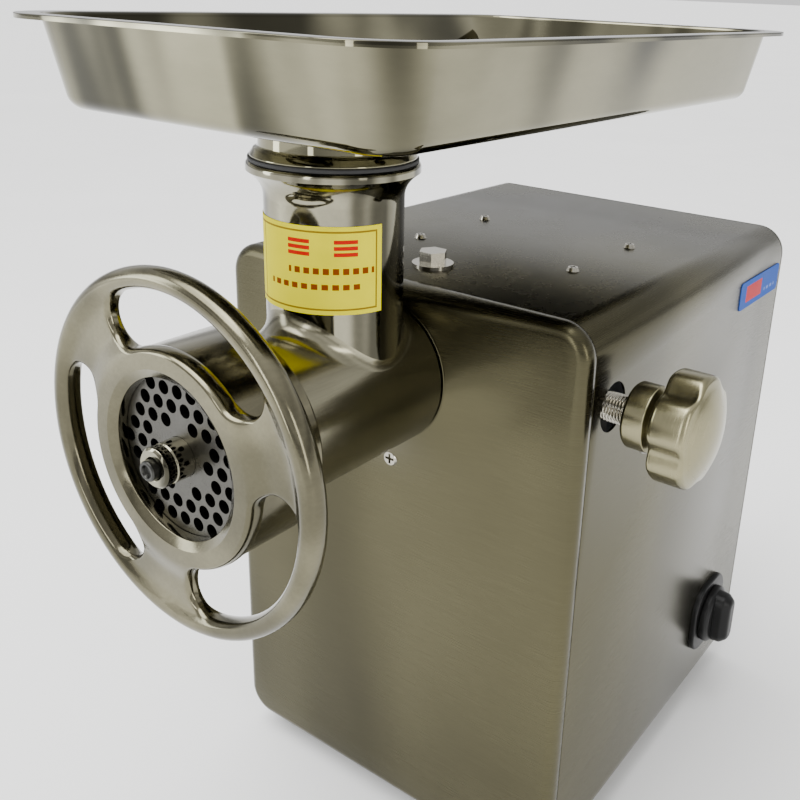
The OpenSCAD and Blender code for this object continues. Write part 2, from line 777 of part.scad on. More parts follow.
module clamp_pad() {
    color([0.7, 0.55, 0.25]) on_clamp() xcyl(6, clamp_tip_x, clamp_tip_x + pad_t);
}
module clamp_screw() {
    neck_l = 3;
    color(polished) on_clamp() {
        xcyl(clamp_r, clamp_tip_x + pad_t + 0.1, boss_end_x + 16);
        xcyl(clamp_r - 1.5, boss_end_x + 15, knob_start - neck_l);
        xcyl(clamp_r + 1.5, side_x - 12, knob_start + 3);
    }
}
module knob_profile() {
    valley = knob_r * 0.34;
    difference() {
        circle(r = knob_r);
        for (i = [0:knob_lobes - 1]) rotate(knob_turn + i * 360 / knob_lobes)
            translate([knob_r + valley * 0.68, 0]) circle(r = valley);
    }
}
module knob() {
    body_start = knob_start + knob_collar_l + groove_l;
    color(polished) on_clamp() difference() {
        union() {
            xcyl(knob_collar_r, knob_start, knob_start + knob_collar_l);
            xcyl(knob_collar_r - 3, knob_start + knob_collar_l - 1, body_start + 1);
            intersection() {
                translate([body_start, 0, 0]) rotate([90, 0, 90])
                    linear_extrude(knob_l + dome_h) knob_profile();
                translate([body_start, 0, 0]) rotate([0, 90, 0]) rotate_extrude() polygon(concat(
                    [[0, 0], [knob_r - 3, 0], [knob_r, 3], [knob_r, knob_l - 2]],
                    [for (a = [20:14:90])
                        [(knob_r - 5) * cos(a) + 5 * (1 - a / 90), knob_l + dome_h * sin(a)]]));
            }
        }
        xcyl(clamp_r + 1.5, knob_start - 1, knob_start + 3);
        translate([knob_start + 9, 0, -knob_collar_r - 1]) cylinder(r = 3, h = 10);
    }
}
module knob_set_screw() {
    color(dark_steel) on_clamp() translate([knob_start + 9, 0, -knob_collar_r - 2]) cylinder(r = 2.9, h = 8);
}

module head_barrel() {
    flare_z = neck_top - neck_flare_h;
    color(polished) difference() {
        union() {
            on_head() {
                ycyl(barrel_r, -barrel_len + mouth_len - 8, -collar_len - seam_ring);
                ycyl(mouth_r, -barrel_len, -barrel_len + mouth_len - 8);
                ycyl(mouth_r - 3.5, -barrel_len + mouth_len - 9, -barrel_len + mouth_len);
                ycyl(shank_r, -collar_len - seam_ring - 1, shank_len);
            }
            translate([head_x, y_front + neck_y, 0]) {
                translate([0, 0, head_z]) cylinder(r = neck_r, h = flare_z - head_z);
                translate([0, 0, flare_z - 0.01]) rotate_extrude() polygon(concat([[0, 0]],
                    [for (i = [0:5]) let (u = i / 5)
                        [neck_r + (neck_flange_r - neck_r) * pow(u, 2.2), (neck_flare_h - 3) * u]],
                    [[neck_flange_r, neck_flare_h], [0, neck_flare_h]]));
            }
        }
        on_head() {
            ycyl(bore_r, -barrel_len - 1, -rear_wall_front);
            ycyl(counterbore_r, -barrel_len - 1, -knife_back + 1);
            ycyl(journal_r + run_gap * 2, -rear_wall_front - 1, shank_len + 1);
            ycyl(shank_bore_r, -rear_wall_front + rear_wall_t, shank_len + 1);
            translate([0, 0, plate_r]) ycyl(2.05, -barrel_len - 1, -plate_back + 2);
        }
        translate([head_x, y_front + neck_y, head_z]) cylinder(r = neck_bore_r, h = neck_top - head_z + 1);
    }
}
module plate_key() {
    color(dark_steel) on_head() translate([0, 0, plate_r]) ycyl(2, -barrel_len + 0.5, -plate_back + 1.5);
}
module neck_label() {
    top = neck_top - 29;
    height = 49;
    color([0.95, 0.82, 0.08]) translate([head_x, y_front + neck_y, top - height]) intersection() {
        difference() {
            cylinder(r = neck_r + 0.4, h = height);
            translate([0, 0, -1]) cylinder(r = neck_r + 0.02, h = height + 2);
        }
        rotate([0, 0, label_turn]) translate([0, -neck_r - 5, -1])
            cube([neck_r + 5, 2 * neck_r + 10, height + 2]);
    }
}
module auger() {
    length = auger_front - auger_back;
    flight_r = bore_r - flight_gap;
    color(polished) on_head() {
        translate([0, y_front - auger_back, 0]) rotate([90, 0, 0])
            linear_extrude(length, twist = 360 * flight_turns, slices = 16 * flight_turns, segments = 4)
                polygon([polar(auger_core_r - 4, -22), polar(flight_r, -9), polar(flight_r, 9),
                    polar(auger_core_r - 4, 22)]);
        ycyl(auger_core_r, -auger_front, -auger_back);
        ycyl(journal_r, -auger_back - 1, tang_start);
        yplate(tang_start - 1, bearing_start - 4) square(tang_w, center = true);
        yplate(-knife_back - knife_t, -auger_front + 1) square(2 * pin_r * 0.9, center = true);
    }
}
module auger_pin() {
    color(polished) on_head() ytube(pin_r, 5.6, -pin_end, -knife_back - knife_t);
}
module pin_plug() {
    color(dark_steel) on_head() ycyl(5.5, -pin_end - 4, -knife_back - knife_t - 0.1);
}
module knife() {
    color(steel) on_head() yplate(-plate_back + 0.3, -plate_back + 0.3 + knife_t) difference() {
        union() {
            circle(r = 20);
            for (a = [20:90:290]) rotate(a)
                polygon([[8, -9], [knife_span / 2 - 2, -3], [knife_span / 2, 4], [14, 9]]);
        }
        square(2 * pin_r * 0.9 + 2 * fit_gap, center = true);
    }
}
module grinding_plate() {
    row_h = hole_pitch * sqrt(3) / 2;
    color([0.5, 0.5, 0.5]) on_head() yplate(-plate_front, -plate_back) difference() {
        circle(r = plate_r);
        circle(r = pin_r + fit_gap);
        translate([0, plate_r]) circle(r = 2 + fit_gap);
        for (row = [-5:5], i = [-6:6])
            let (x = (i + (abs(row) % 2) / 2) * hole_pitch, z = row * row_h, d = norm([x, z]))
            if (d > blank_r && d < plate_r - hole_r - 1.5) translate([x, z]) circle(r = hole_r, $fn = 24);
    }
}
module web_opening() {
    inner = hub_r + 1;
    outer = wheel_r - rim_w - 0.4;
    mid = (inner + outer) / 2;
    end_r = (outer - inner) / 2;
    half = opening_arc / 2;
    polygon(concat(
        [for (a = [-half:half / 8:half]) polar(outer, a)],
        [for (t = [22.5:22.5:157.5]) polar(mid, half) + polar(end_r, half + t)],
        [for (a = [half:-half / 6:-half]) polar(inner, a)],
        [for (t = [22.5:22.5:157.5]) polar(mid, -half) + polar(end_r, -half + 180 + t)]));
}
module handwheel() {
    web_from = -wheel_mid - web_t / 2;
    rim_mid = wheel_r - rim_w / 2;
    color(polished) on_head() difference() {
        union() {
            yplate(web_from, web_from + web_t) difference() {
                circle(r = wheel_r - rim_w / 2);
                for (i = [0:wheel_openings - 1])
                    rotate(opening_tilt + i * 360 / wheel_openings) web_opening();
            }
            yturn([for (a = [15:30:345])
                [rim_mid + rim_w / 2 * cos(a) / cos(15), -wheel_mid + rim_t / 2 * sin(a) / cos(15)]]);
            ycyl(hub_r, -hub_front, -hub_front + hub_len);
        }
        ycyl(lip_r, -hub_front - 1, -plate_front);
        yturn([[0, -hub_front - 1], [lip_r + 4, -hub_front - 1],
            [lip_r, -hub_front + 3], [0, -hub_front + 3]]);
        ycyl(mouth_r + 0.3, -plate_front - fit_gap, -hub_front + hub_len + 1);
    }
}

// the tray's outline shrunk by d, at a corner radius
module tray_outline(d) { rounded_rect(tray_w - 2 * d, tray_l - 2 * d, tray_corner - d, $fn = 24); }
module tray_bowl(extra) {
    inset = tray_rim_w + extra;
    hull() {
        translate([0, 0, tray_rim_z - 1]) linear_extrude(1) tray_outline(inset);
        translate([0, 0, tray_floor_z + 7 + extra]) linear_extrude(1) tray_outline(inset + tray_lean - 2);
        translate([0, 0, tray_floor_z + extra]) linear_extrude(1) tray_outline(inset + tray_lean + 5);
    }
}
module tray() {
    color(polished) difference() {
        translate([tray_x, y_front + tray_mid_y, 0]) {
            difference() {
                union() {
                    tray_bowl(0);
                    translate([0, 0, tray_rim_z - 2.5]) linear_extrude(2.5) tray_outline(0);
                }
                tray_bowl(tray_t);
                translate([0, 0, tray_rim_z - 1.01]) linear_extrude(2) tray_outline(tray_rim_w + tray_t);
            }
        }
        translate([head_x, y_front + neck_y, tray_floor_z - 1]) cylinder(r = spigot_r + 0.05, h = 6);
    }
}
module tray_spigot() {
    collar_z = neck_top + fit_gap;
    color(polished) translate([head_x, y_front + neck_y, 0]) difference() {
        union() {
            translate([0, 0, neck_top - spigot_len])
                cylinder(r = spigot_r, h = tray_floor_z + tray_t - neck_top + spigot_len);
            translate([0, 0, collar_z])
                cylinder(r1 = neck_flange_r - 2, r2 = neck_flange_r - 6, h = tray_floor_z - collar_z);
        }
        translate([0, 0, neck_top - spigot_len - 1])
            cylinder(r = throat_r, h = tray_floor_z - neck_top + spigot_len + 10);
    }
}

front_panel();
wrap_cover();
rear_panel();
base_plate();
rubber_feet();
foot_screws();
rear_screws();
top_screws();
top_bolt();
top_bolt_washer();
front_screw();
gearbox_case();
gearbox_cover();
gearbox_screws();
output_bearings();
layshaft_bearings();
motor_hanger();
hanger_bolts();
motor_case();
motor_end_bell();
motor_bearings();
stator();
capacitor();
capacitor_clip();
switch_plate();
cord_gland();
side_label();
switch_knob();
clamp_pad();
clamp_screw();
knob();
knob_set_screw();
rotor();
motor_shaft();
motor_pinion();
cooling_fan();
layshaft();
layshaft_gear();
layshaft_pinion();
output_shaft();
output_gear();
shaft_key();
head_barrel();
plate_key();
neck_label();
auger();
knife();
auger_pin();
pin_plug();
grinding_plate();
handwheel();
tray();
tray_spigot();
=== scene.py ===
"""Electric meat grinder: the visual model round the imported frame.

Lengths in the shape code are millimetres. Lights, the camera and textures are in metres.
"""
import json
from math import atan2, cos, hypot, pi, radians, sin, sqrt, tan

import bmesh
import bpy
from mathutils import Matrix, Vector


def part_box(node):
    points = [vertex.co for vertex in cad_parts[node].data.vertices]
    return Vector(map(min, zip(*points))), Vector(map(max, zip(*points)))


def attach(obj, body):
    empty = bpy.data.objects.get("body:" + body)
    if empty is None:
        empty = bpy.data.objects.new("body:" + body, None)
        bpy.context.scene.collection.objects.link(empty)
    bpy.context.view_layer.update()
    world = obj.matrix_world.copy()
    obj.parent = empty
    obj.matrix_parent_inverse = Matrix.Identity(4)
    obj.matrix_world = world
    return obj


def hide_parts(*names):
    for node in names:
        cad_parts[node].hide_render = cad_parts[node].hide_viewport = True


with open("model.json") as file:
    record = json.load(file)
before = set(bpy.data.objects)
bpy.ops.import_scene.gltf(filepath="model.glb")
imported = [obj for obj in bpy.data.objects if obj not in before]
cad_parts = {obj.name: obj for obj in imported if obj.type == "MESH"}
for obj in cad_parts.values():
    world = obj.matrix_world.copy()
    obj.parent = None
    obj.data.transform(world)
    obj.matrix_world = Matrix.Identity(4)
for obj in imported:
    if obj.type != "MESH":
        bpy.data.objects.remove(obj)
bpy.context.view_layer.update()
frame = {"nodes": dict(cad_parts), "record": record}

MM = 0.001


def box_mm(node):
    """The two corners of a CAD node's box, in millimetres."""
    lo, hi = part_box(node)
    return [v / MM for v in lo], [v / MM for v in hi]


# places taken from the frame
wheel_lo, wheel_hi = box_mm("handwheel")
HEAD_X = (wheel_lo[0] + wheel_hi[0]) / 2
HEAD_Z = (wheel_lo[2] + wheel_hi[2]) / 2
WHEEL_R = (wheel_hi[0] - wheel_lo[0]) / 2
cover_lo, cover_hi = box_mm("wrap_cover")
SIDE, TOP, FLOOR_EDGE = cover_hi[0], cover_hi[2], cover_lo[2]
REAR = box_mm("rear_panel")[1][1]
FRONT = -REAR
NECK_TOP = box_mm("head_barrel")[1][2]
NECK_Y = (box_mm("tray_spigot")[0][1] + box_mm("tray_spigot")[1][1]) / 2
tray_lo, tray_hi = box_mm("tray")
TRAY_X, TRAY_Y = (tray_lo[0] + tray_hi[0]) / 2, (tray_lo[1] + tray_hi[1]) / 2
TRAY_W, TRAY_L = tray_hi[0] - tray_lo[0], tray_hi[1] - tray_lo[1]
TRAY_FLOOR, TRAY_RIM = tray_lo[2], tray_hi[2]
knob_lo, knob_hi = box_mm("knob")
CLAMP_Y = (box_mm("clamp_screw")[0][1] + box_mm("clamp_screw")[1][1]) / 2
CLAMP_Z = (box_mm("clamp_screw")[0][2] + box_mm("clamp_screw")[1][2]) / 2
switch_lo, switch_hi = box_mm("switch_plate")
SWITCH_Y, SWITCH_Z = (switch_lo[1] + switch_hi[1]) / 2, (switch_lo[2] + switch_hi[2]) / 2


# ---------------------------------------------------------------- mesh makers
def eased(corners, closed=True, steps=5):
    """A profile through corners (x, y, radius), each corner rounded to its radius."""
    out = []
    for i, (x, y, radius) in enumerate(corners):
        if radius == 0 or (not closed and i in (0, len(corners) - 1)):
            out.append((x, y))
            continue
        here = Vector((x, y))
        a = (Vector(corners[i - 1][:2]) - here).normalized()
        b = (Vector(corners[(i + 1) % len(corners)][:2]) - here).normalized()
        half = a.angle(b) / 2
        centre = here + (a + b).normalized() * (radius / sin(half))
        start, end = here + a * (radius / tan(half)) - centre, here + b * (radius / tan(half)) - centre
        sweep = atan2(start.x * end.y - start.y * end.x, start.dot(end))
        for k in range(steps + 1):
            t = sweep * k / steps
            out.append((centre.x + start.x * cos(t) - start.y * sin(t),
                        centre.y + start.x * sin(t) + start.y * cos(t)))
    return out


def smooth(t):
    """An S-shaped rise from 0 to 1."""
    return t * t * (3 - 2 * t)


def even_angles(count):
    return [2 * pi * i / count for i in range(count)]


def circle(place, r, s, count):
    """An even circle of points of radius r at station s."""
    return [place(r * cos(a), r * sin(a), s) for a in even_angles(count)]


def skin(loops, ring=True, close=False, start_cap=False, end_cap=False):
    """Quads between loops that have the same number of points. ring: every loop is closed."""
    n = len(loops[0])
    verts = [p for loop in loops for p in loop]
    faces = []
    for j in range(len(loops) if close else len(loops) - 1):
        a, b = j * n, ((j + 1) % len(loops)) * n
        for i in range(n if ring else n - 1):
            k = (i + 1) % n
            faces.append((a + i, a + k, b + k, b + i))
    if start_cap:
        faces.append(tuple(range(n)))
    if end_cap:
        faces.append(tuple(reversed(range((len(loops) - 1) * n, len(loops) * n))))
    return verts, faces


def rod(place, r, start, end, count):
    """A plain closed rod between two stations."""
    return skin([circle(place, r, start, count), circle(place, r, end, count)], start_cap=True, end_cap=True)


def turned(profile, place, angles, close=True):
    """A profile of (radius, station) turned about an axis."""
    return skin([[place(r * cos(a), r * sin(a), s) for a in angles] for r, s in profile], close=close)


def joined(*parts):
    """Several shapes as one list of vertices and faces."""
    verts, faces = [], []
    for v, f in parts:
        base = len(verts)
        verts += v
        faces += [tuple(base + i for i in face) for face in f]
    return verts, faces


# points about an axis: u and v lie across it, and s is the station along it
def on_head(u, v, s):
    return HEAD_X + u, FRONT + s, HEAD_Z + v


def on_neck(u, v, s):
    return HEAD_X + u, NECK_Y + v, s


def on_clamp(u, v, s):
    return s, CLAMP_Y + u, CLAMP_Z + v


def on_switch(u, v, s):
    return s, SWITCH_Y + u, SWITCH_Z + v


def make_mesh(name, shape, sharp=35, merge=0.002):
    """An object from vertices in millimetres and faces: doubles merged, normals outwards, smooth."""
    verts, faces = shape
    mesh = bpy.data.meshes.new(name)
    mesh.from_pydata([(x * MM, y * MM, z * MM) for x, y, z in verts], [], faces)
    bm = bmesh.new()
    bm.from_mesh(mesh)
    bmesh.ops.remove_doubles(bm, verts=bm.verts, dist=merge * MM)
    bmesh.ops.dissolve_degenerate(bm, edges=bm.edges, dist=merge * MM)
    bmesh.ops.recalc_face_normals(bm, faces=bm.faces)
    bm.to_mesh(mesh)
    bm.free()
    mesh.shade_smooth()
    mesh.set_sharp_from_angle(angle=radians(sharp))
    obj = bpy.data.objects.new(name, mesh)
    bpy.context.scene.collection.objects.link(obj)
    return obj


def piece(name, shape, finish, body, stands_for=(), sharp=35):
    """A finished piece: its mesh, its material, the body it rides on and the CAD nodes it stands for."""
    obj = shape if isinstance(shape, bpy.types.Object) else make_mesh(name, shape, sharp)
    obj.name = name
    obj.data.materials.clear()
    obj.data.materials.append(FINISHES[finish])
    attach(obj, body)
    if stands_for:
        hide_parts(*stands_for)
    return obj


def cut(obj, tool_shape, sharp=35):
    """Takes a tool's volume out of a piece."""
    tool = make_mesh("tool", tool_shape)
    step = obj.modifiers.new("cut", "BOOLEAN")
    step.operation, step.solver, step.object = "DIFFERENCE", "EXACT", tool
    mesh = bpy.data.meshes.new_from_object(obj.evaluated_get(bpy.context.evaluated_depsgraph_get()))
    obj.modifiers.clear()
    obj.data = mesh
    bpy.data.objects.remove(tool)
    mesh.shade_smooth()
    mesh.set_sharp_from_angle(angle=radians(sharp))
    return obj


# ---------------------------------------------------------------- finishes
def add(tree, kind, inputs=None, **settings):
    """A shader node with its settings, and its inputs linked or set."""
    made = tree.nodes.new(kind)
    for key, value in settings.items():
        setattr(made, key, value)
    for key, value in (inputs or {}).items():
        if isinstance(value, bpy.types.NodeSocket):
            tree.links.new(value, made.inputs[key])
        else:
            made.inputs[key].default_value = value
    return made


def math(tree, operation, *values):
    """The result of a Math node."""
    return add(tree, "ShaderNodeMath", dict(enumerate(values)), operation=operation).outputs[0]


def remap(tree, value, from_min=0.0, from_max=1.0, to_min=0.0, to_max=1.0, shape="LINEAR"):
    """A value carried from one range to another, and held inside it."""
    return add(tree, "ShaderNodeMapRange", {"Value": value, "From Min": from_min, "From Max": from_max,
        "To Min": to_min, "To Max": to_max}, interpolation_type=shape).outputs[0]


def mix_colour(tree, factor, low, high):
    """A colour between two; each is a socket or three numbers."""
    ends = [c if isinstance(c, bpy.types.NodeSocket) else (*c, 1) for c in (low, high)]
    return add(tree, "ShaderNodeMix", {"Factor": factor, "A": ends[0], "B": ends[1]},
        data_type="RGBA").outputs["Result"]


def bump_normal(tree, height, strength, distance):
    return add(tree, "ShaderNodeBump", {"Height": height, "Strength": strength,
        "Distance": distance}).outputs["Normal"]


def on_object(tree, scale=None):
    """Object coordinates, in metres, multiplied by a scale where one is given."""
    place = add(tree, "ShaderNodeTexCoord").outputs["Object"]
    if scale is None:
        return place
    return add(tree, "ShaderNodeVectorMath", {0: place, 1: scale}, operation="MULTIPLY").outputs[0]


def new_group(name, inputs, outputs):
    group = bpy.data.node_groups.new(name, "ShaderNodeTree")
    for label_text, kind, value in inputs:
        made = group.interface.new_socket(label_text, in_out="INPUT", socket_type=kind)
        made.default_value = value
    for label_text, kind in outputs:
        group.interface.new_socket(label_text, in_out="OUTPUT", socket_type=kind)
    return group, group.nodes.new("NodeGroupInput").outputs, group.nodes.new("NodeGroupOutput").inputs


def grain_group():
    """Fine brushing: stretch is how many strokes a metre along each axis."""
    group, given, out = new_group("Brushed grain", [("Stretch", "NodeSocketVector", (60, 60, 4000)),
        ("Contrast", "NodeSocketFloat", 1.0)], [("Grain", "NodeSocketFloat")])
    strokes = add(group, "ShaderNodeTexNoise", {"Vector": on_object(group, given["Stretch"]), "Scale": 1.0,
        "Detail": 3.0, "Roughness": 0.7})
    low = math(group, "SUBTRACT", 0.5, given["Contrast"])
    group.links.new(remap(group, strokes.outputs["Fac"], 0.25, 0.75, low), out["Grain"])
    return group


def clouds_group():
    """Broad uneven patches left by polishing, wiping and handling."""
    group, given, out = new_group("Handled patches", [("Size", "NodeSocketFloat", 12.0),
        ("Warp", "NodeSocketFloat", 0.6)], [("Mask", "NodeSocketFloat")])
    broad = add(group, "ShaderNodeTexNoise", {"Vector": on_object(group), "Scale": given["Size"],
        "Detail": 2.5, "Roughness": 0.55, "Distortion": given["Warp"]})
    group.links.new(remap(group, broad.outputs["Fac"], 0.32, 0.68), out["Mask"])
    return group


def scratch_group():
    """Sparse hairline scratches in changing directions."""
    group, given, out = new_group("Hairline scratches", [("Size", "NodeSocketFloat", 9.0),
        ("Amount", "NodeSocketFloat", 0.5)], [("Mask", "NodeSocketFloat")])
    place = on_object(group)
    drift = add(group, "ShaderNodeTexNoise", {"Vector": place, "Scale": given["Size"], "Detail": 1.0})
    lines = add(group, "ShaderNodeTexWave", {"Vector": place, "Scale": 38.0, "Distortion": 9.0,
        "Detail": 2.0, "Detail Scale": 1.4}, wave_type="BANDS", bands_direction="DIAGONAL")
    thin = remap(group, lines.outputs["Fac"], 0.992, 1.0)
    where = remap(group, drift.outputs["Fac"], 0.55, 0.7)
    both = math(group, "MULTIPLY", thin, where)
    group.links.new(math(group, "MULTIPLY", both, given["Amount"]), out["Mask"])
    return group


def painted_reflection_group():
    """Painted reflection: soft upright light and dark bands that scale a base colour, as polished sheet and
    pipe show where the room is light and dark.
    """
    group, given, out = new_group("Painted reflection bands", [("Pitch", "NodeSocketVector", (24, 24, 0.8)),
        ("Depth", "NodeSocketFloat", 0.5)], [("Share", "NodeSocketFloat")])
    painted_reflection_bands = add(group, "ShaderNodeTexNoise", {"Vector": on_object(group, given["Pitch"]), "Scale": 1.0,
        "Detail": 1.0, "Roughness": 0.4})
    low = math(group, "SUBTRACT", 1.0, given["Depth"])
    group.links.new(remap(group, painted_reflection_bands.outputs["Fac"], 0.36, 0.62, low, shape="SMOOTHSTEP"), out["Share"])
    return group


def use(tree, group, **inputs):
    """The outputs of a node group placed in a material with its own values."""
    made = tree.nodes.new("ShaderNodeGroup")
    made.node_tree = group
    for key, value in inputs.items():
        made.inputs[key].default_value = value
    return made.outputs


GRAIN, CLOUDS, SCRATCHES, PAINTED_REFLECTIONS = grain_group(), clouds_group(), scratch_group(), painted_reflection_group()


def blank_material(name):
    """A new material with its node tree and its Principled BSDF."""
    material = bpy.data.materials.new(name)
    material.use_nodes = True
    tree = material.node_tree
    return material, tree, tree.nodes["Principled BSDF"]


def metal(name, light, dark, rough, stretch, bump=0.05, patch=12.0, marks=0.3, painted_reflection_bands=None):
    """Metal whose colour, gloss and relief follow its brushing, handling and scratches; where bands are
    given, painted reflections also darken its colour in soft bands.
    """
    material, tree, shader = blank_material(name)
    grain = use(tree, GRAIN, Stretch=stretch, Contrast=0.5)["Grain"]
    mask = use(tree, CLOUDS, Size=patch)["Mask"]
    lines = use(tree, SCRATCHES, Amount=marks)["Mask"]
    worn = math(tree, "ADD", grain, mask)
    colour = mix_colour(tree, remap(tree, worn, 0.2, 1.8), dark, light)
    # painted reflection: soft light and dark bands scale the base colour
    if painted_reflection_bands:
        share = use(tree, PAINTED_REFLECTIONS, Pitch=painted_reflection_bands[0], Depth=painted_reflection_bands[1])["Share"]
        colour = add(tree, "ShaderNodeVectorMath", {0: colour, "Scale": share}, operation="SCALE").outputs[0]
    gloss = remap(tree, worn, 0.0, 2.0, *rough)
    scuffed = math(tree, "MULTIPLY_ADD", lines, 0.25, gloss)
    relief = math(tree, "SUBTRACT", grain, lines)
    tree.links.new(colour, shader.inputs["Base Color"])
    tree.links.new(scuffed, shader.inputs["Roughness"])
    tree.links.new(bump_normal(tree, relief, bump, 0.0004), shader.inputs["Normal"])
    shader.inputs["Metallic"].default_value = 1.0
    return material


def moulded(name, light, dark, rough, grit=900.0, bump=0.12, specular=0.4):
    """Moulded rubber or plastic with a fine pebbled skin."""
    material, tree, shader = blank_material(name)
    pebble = use(tree, GRAIN, Stretch=(grit, grit, grit), Contrast=0.5)["Grain"]
    mask = use(tree, CLOUDS, Size=18.0)["Mask"]
    gloss = remap(tree, math(tree, "ADD", pebble, mask), 0.0, 2.0, *rough)
    tree.links.new(mix_colour(tree, mask, dark, light), shader.inputs["Base Color"])
    tree.links.new(gloss, shader.inputs["Roughness"])
    tree.links.new(bump_normal(tree, pebble, bump, 0.0003), shader.inputs["Normal"])
    shader.inputs["Specular IOR Level"].default_value = specular
    return material


def within(tree, value, middle, half):
    """1 where value is nearer than half to middle."""
    return math(tree, "COMPARE", value, middle, half)


def patch_of(tree, u, v, middle, half_u, row, half_v):
    """1 inside a rectangle of the label."""
    return math(tree, "MULTIPLY", within(tree, u, middle, half_u), within(tree, v, row, half_v))


DASH_FILL = 0.62


def dashes(tree, u, v, row, half, first, last, count):
    """A row of even dashes between two places along the label."""
    pitch = (last - first) / count
    phase = math(tree, "PINGPONG", math(tree, "SUBTRACT", u, first), pitch)
    on = math(tree, "LESS_THAN", phase, pitch * DASH_FILL)
    return math(tree, "MULTIPLY", on, patch_of(tree, u, v, (first + last) / 2, (last - first) / 2, row, half))


def label(name, paper, ink, small_ink, frame_ink, rows, blocks, border=True):
    """A printed label: plain border, bars and dashes that stand for print.

    rows are (height, half height, first, last, count), and blocks are (middle, half width,
    height, half height), all as shares of the label.
    """
    material, tree, shader = blank_material(name)
    uv = add(tree, "ShaderNodeSeparateXYZ", {0: add(tree, "ShaderNodeTexCoord").outputs["UV"]})
    u, v = uv.outputs[0], uv.outputs[1]
    mask = use(tree, CLOUDS, Size=25.0)["Mask"]
    prints = [(dashes(tree, u, v, *row), small_ink) for row in rows]
    prints += [(patch_of(tree, u, v, *block), ink) for block in blocks]
    if border:
        wide = patch_of(tree, u, v, 0.5, 0.475, 0.5, 0.45)
        line = math(tree, "SUBTRACT", wide, patch_of(tree, u, v, 0.5, 0.467, 0.5, 0.428))
        divider = math(tree, "MULTIPLY", within(tree, u, 0.39, 0.0035), wide)
        prints.append((math(tree, "MAXIMUM", line, divider), frame_ink))
    printed = mix_colour(tree, mask, [c * 0.88 for c in paper], paper)
    for mark, tone in prints:
        printed = mix_colour(tree, mark, printed, tone)
    tree.links.new(printed, shader.inputs["Base Color"])
    tree.links.new(remap(tree, mask, 0.0, 1.0, 0.42, 0.56), shader.inputs["Roughness"])
    shader.inputs["Specular IOR Level"].default_value = 0.03
    return material


# A finish's bands paint reflections into its colour: light and dark bands given as (pitch along x, y and z,
# depth).
METALS = {
    "brushed_housing": dict(light=(0.098, 0.090, 0.052), dark=(0.070, 0.064, 0.037),
        rough=(0.22, 0.31), stretch=(40, 40, 2600), bump=0.015, patch=5.0, marks=0.05,
        painted_reflection_bands=((7, 7, 3), 0.35)),
    "polished_steel": dict(light=(0.288, 0.272, 0.198), dark=(0.232, 0.220, 0.160),
        rough=(0.05, 0.12), stretch=(300, 300, 300), bump=0.010, patch=16.0, marks=0.3,
        painted_reflection_bands=((60, 60, 1.2), 0.80)),
    "satin_steel": dict(light=(0.281, 0.264, 0.186), dark=(0.212, 0.200, 0.137),
        rough=(0.15, 0.24), stretch=(900, 40, 900), bump=0.03, patch=16.0, marks=0.3,
        painted_reflection_bands=((26, 2, 40), 0.55)),
    "wheel_steel": dict(light=(0.194, 0.180, 0.120), dark=(0.144, 0.133, 0.089),
        rough=(0.11, 0.21), stretch=(500, 120, 500), bump=0.025, patch=22.0, marks=0.3,
        painted_reflection_bands=((16, 16, 16), 0.45)),
    "tray_steel": dict(light=(0.245, 0.230, 0.156), dark=(0.202, 0.191, 0.129),
        rough=(0.03, 0.07), stretch=(30, 30, 90), bump=0.002, patch=7.0, marks=0.2,
        painted_reflection_bands=((26, 12, 0.6), 0.85)),
    "plate_steel": dict(light=(0.096, 0.093, 0.084), dark=(0.060, 0.058, 0.051),
        rough=(0.22, 0.38), stretch=(900, 900, 900), bump=0.03, patch=40.0, marks=0.3),
    "bright_fastener": dict(light=(0.42, 0.40, 0.34), dark=(0.30, 0.285, 0.24),
        rough=(0.10, 0.2), stretch=(900, 900, 900), bump=0.02, patch=60.0),
    "knob_steel": dict(light=(0.274, 0.252, 0.152), dark=(0.209, 0.194, 0.117),
        rough=(0.20, 0.30), stretch=(1500, 90, 90), bump=0.02, patch=30.0),
    "cast_iron": dict(light=(0.26, 0.27, 0.27), dark=(0.15, 0.16, 0.16),
        rough=(0.45, 0.62), stretch=(1200, 1200, 1200), bump=0.5, patch=30.0, marks=0.0),
    "gear_steel": dict(light=(0.38, 0.37, 0.35), dark=(0.24, 0.235, 0.22),
        rough=(0.25, 0.40), stretch=(900, 900, 900), bump=0.06, patch=40.0),
    "lamination": dict(light=(0.40, 0.36, 0.32), dark=(0.26, 0.23, 0.20),
        rough=(0.35, 0.55), stretch=(60, 3000, 60), bump=0.4, patch=20.0, marks=0.0),
    "capacitor_can": dict(light=(0.70, 0.70, 0.72), dark=(0.60, 0.60, 0.62),
        rough=(0.25, 0.35), stretch=(80, 2000, 80), bump=0.05, patch=20.0),
    "pad_brass": dict(light=(0.72, 0.55, 0.26), dark=(0.55, 0.40, 0.17),
        rough=(0.25, 0.38), stretch=(900, 900, 900), bump=0.05, patch=40.0),
    # pin_bore: near-black, painted shade for the inside of the auger pin's bore
    "pin_bore": dict(light=(0.06, 0.06, 0.055), dark=(0.03, 0.03, 0.028),
        rough=(0.25, 0.40), stretch=(900, 900, 900), bump=0.05, patch=60.0),
}
FINISHES = {name: metal(name, **look) for name, look in METALS.items()}
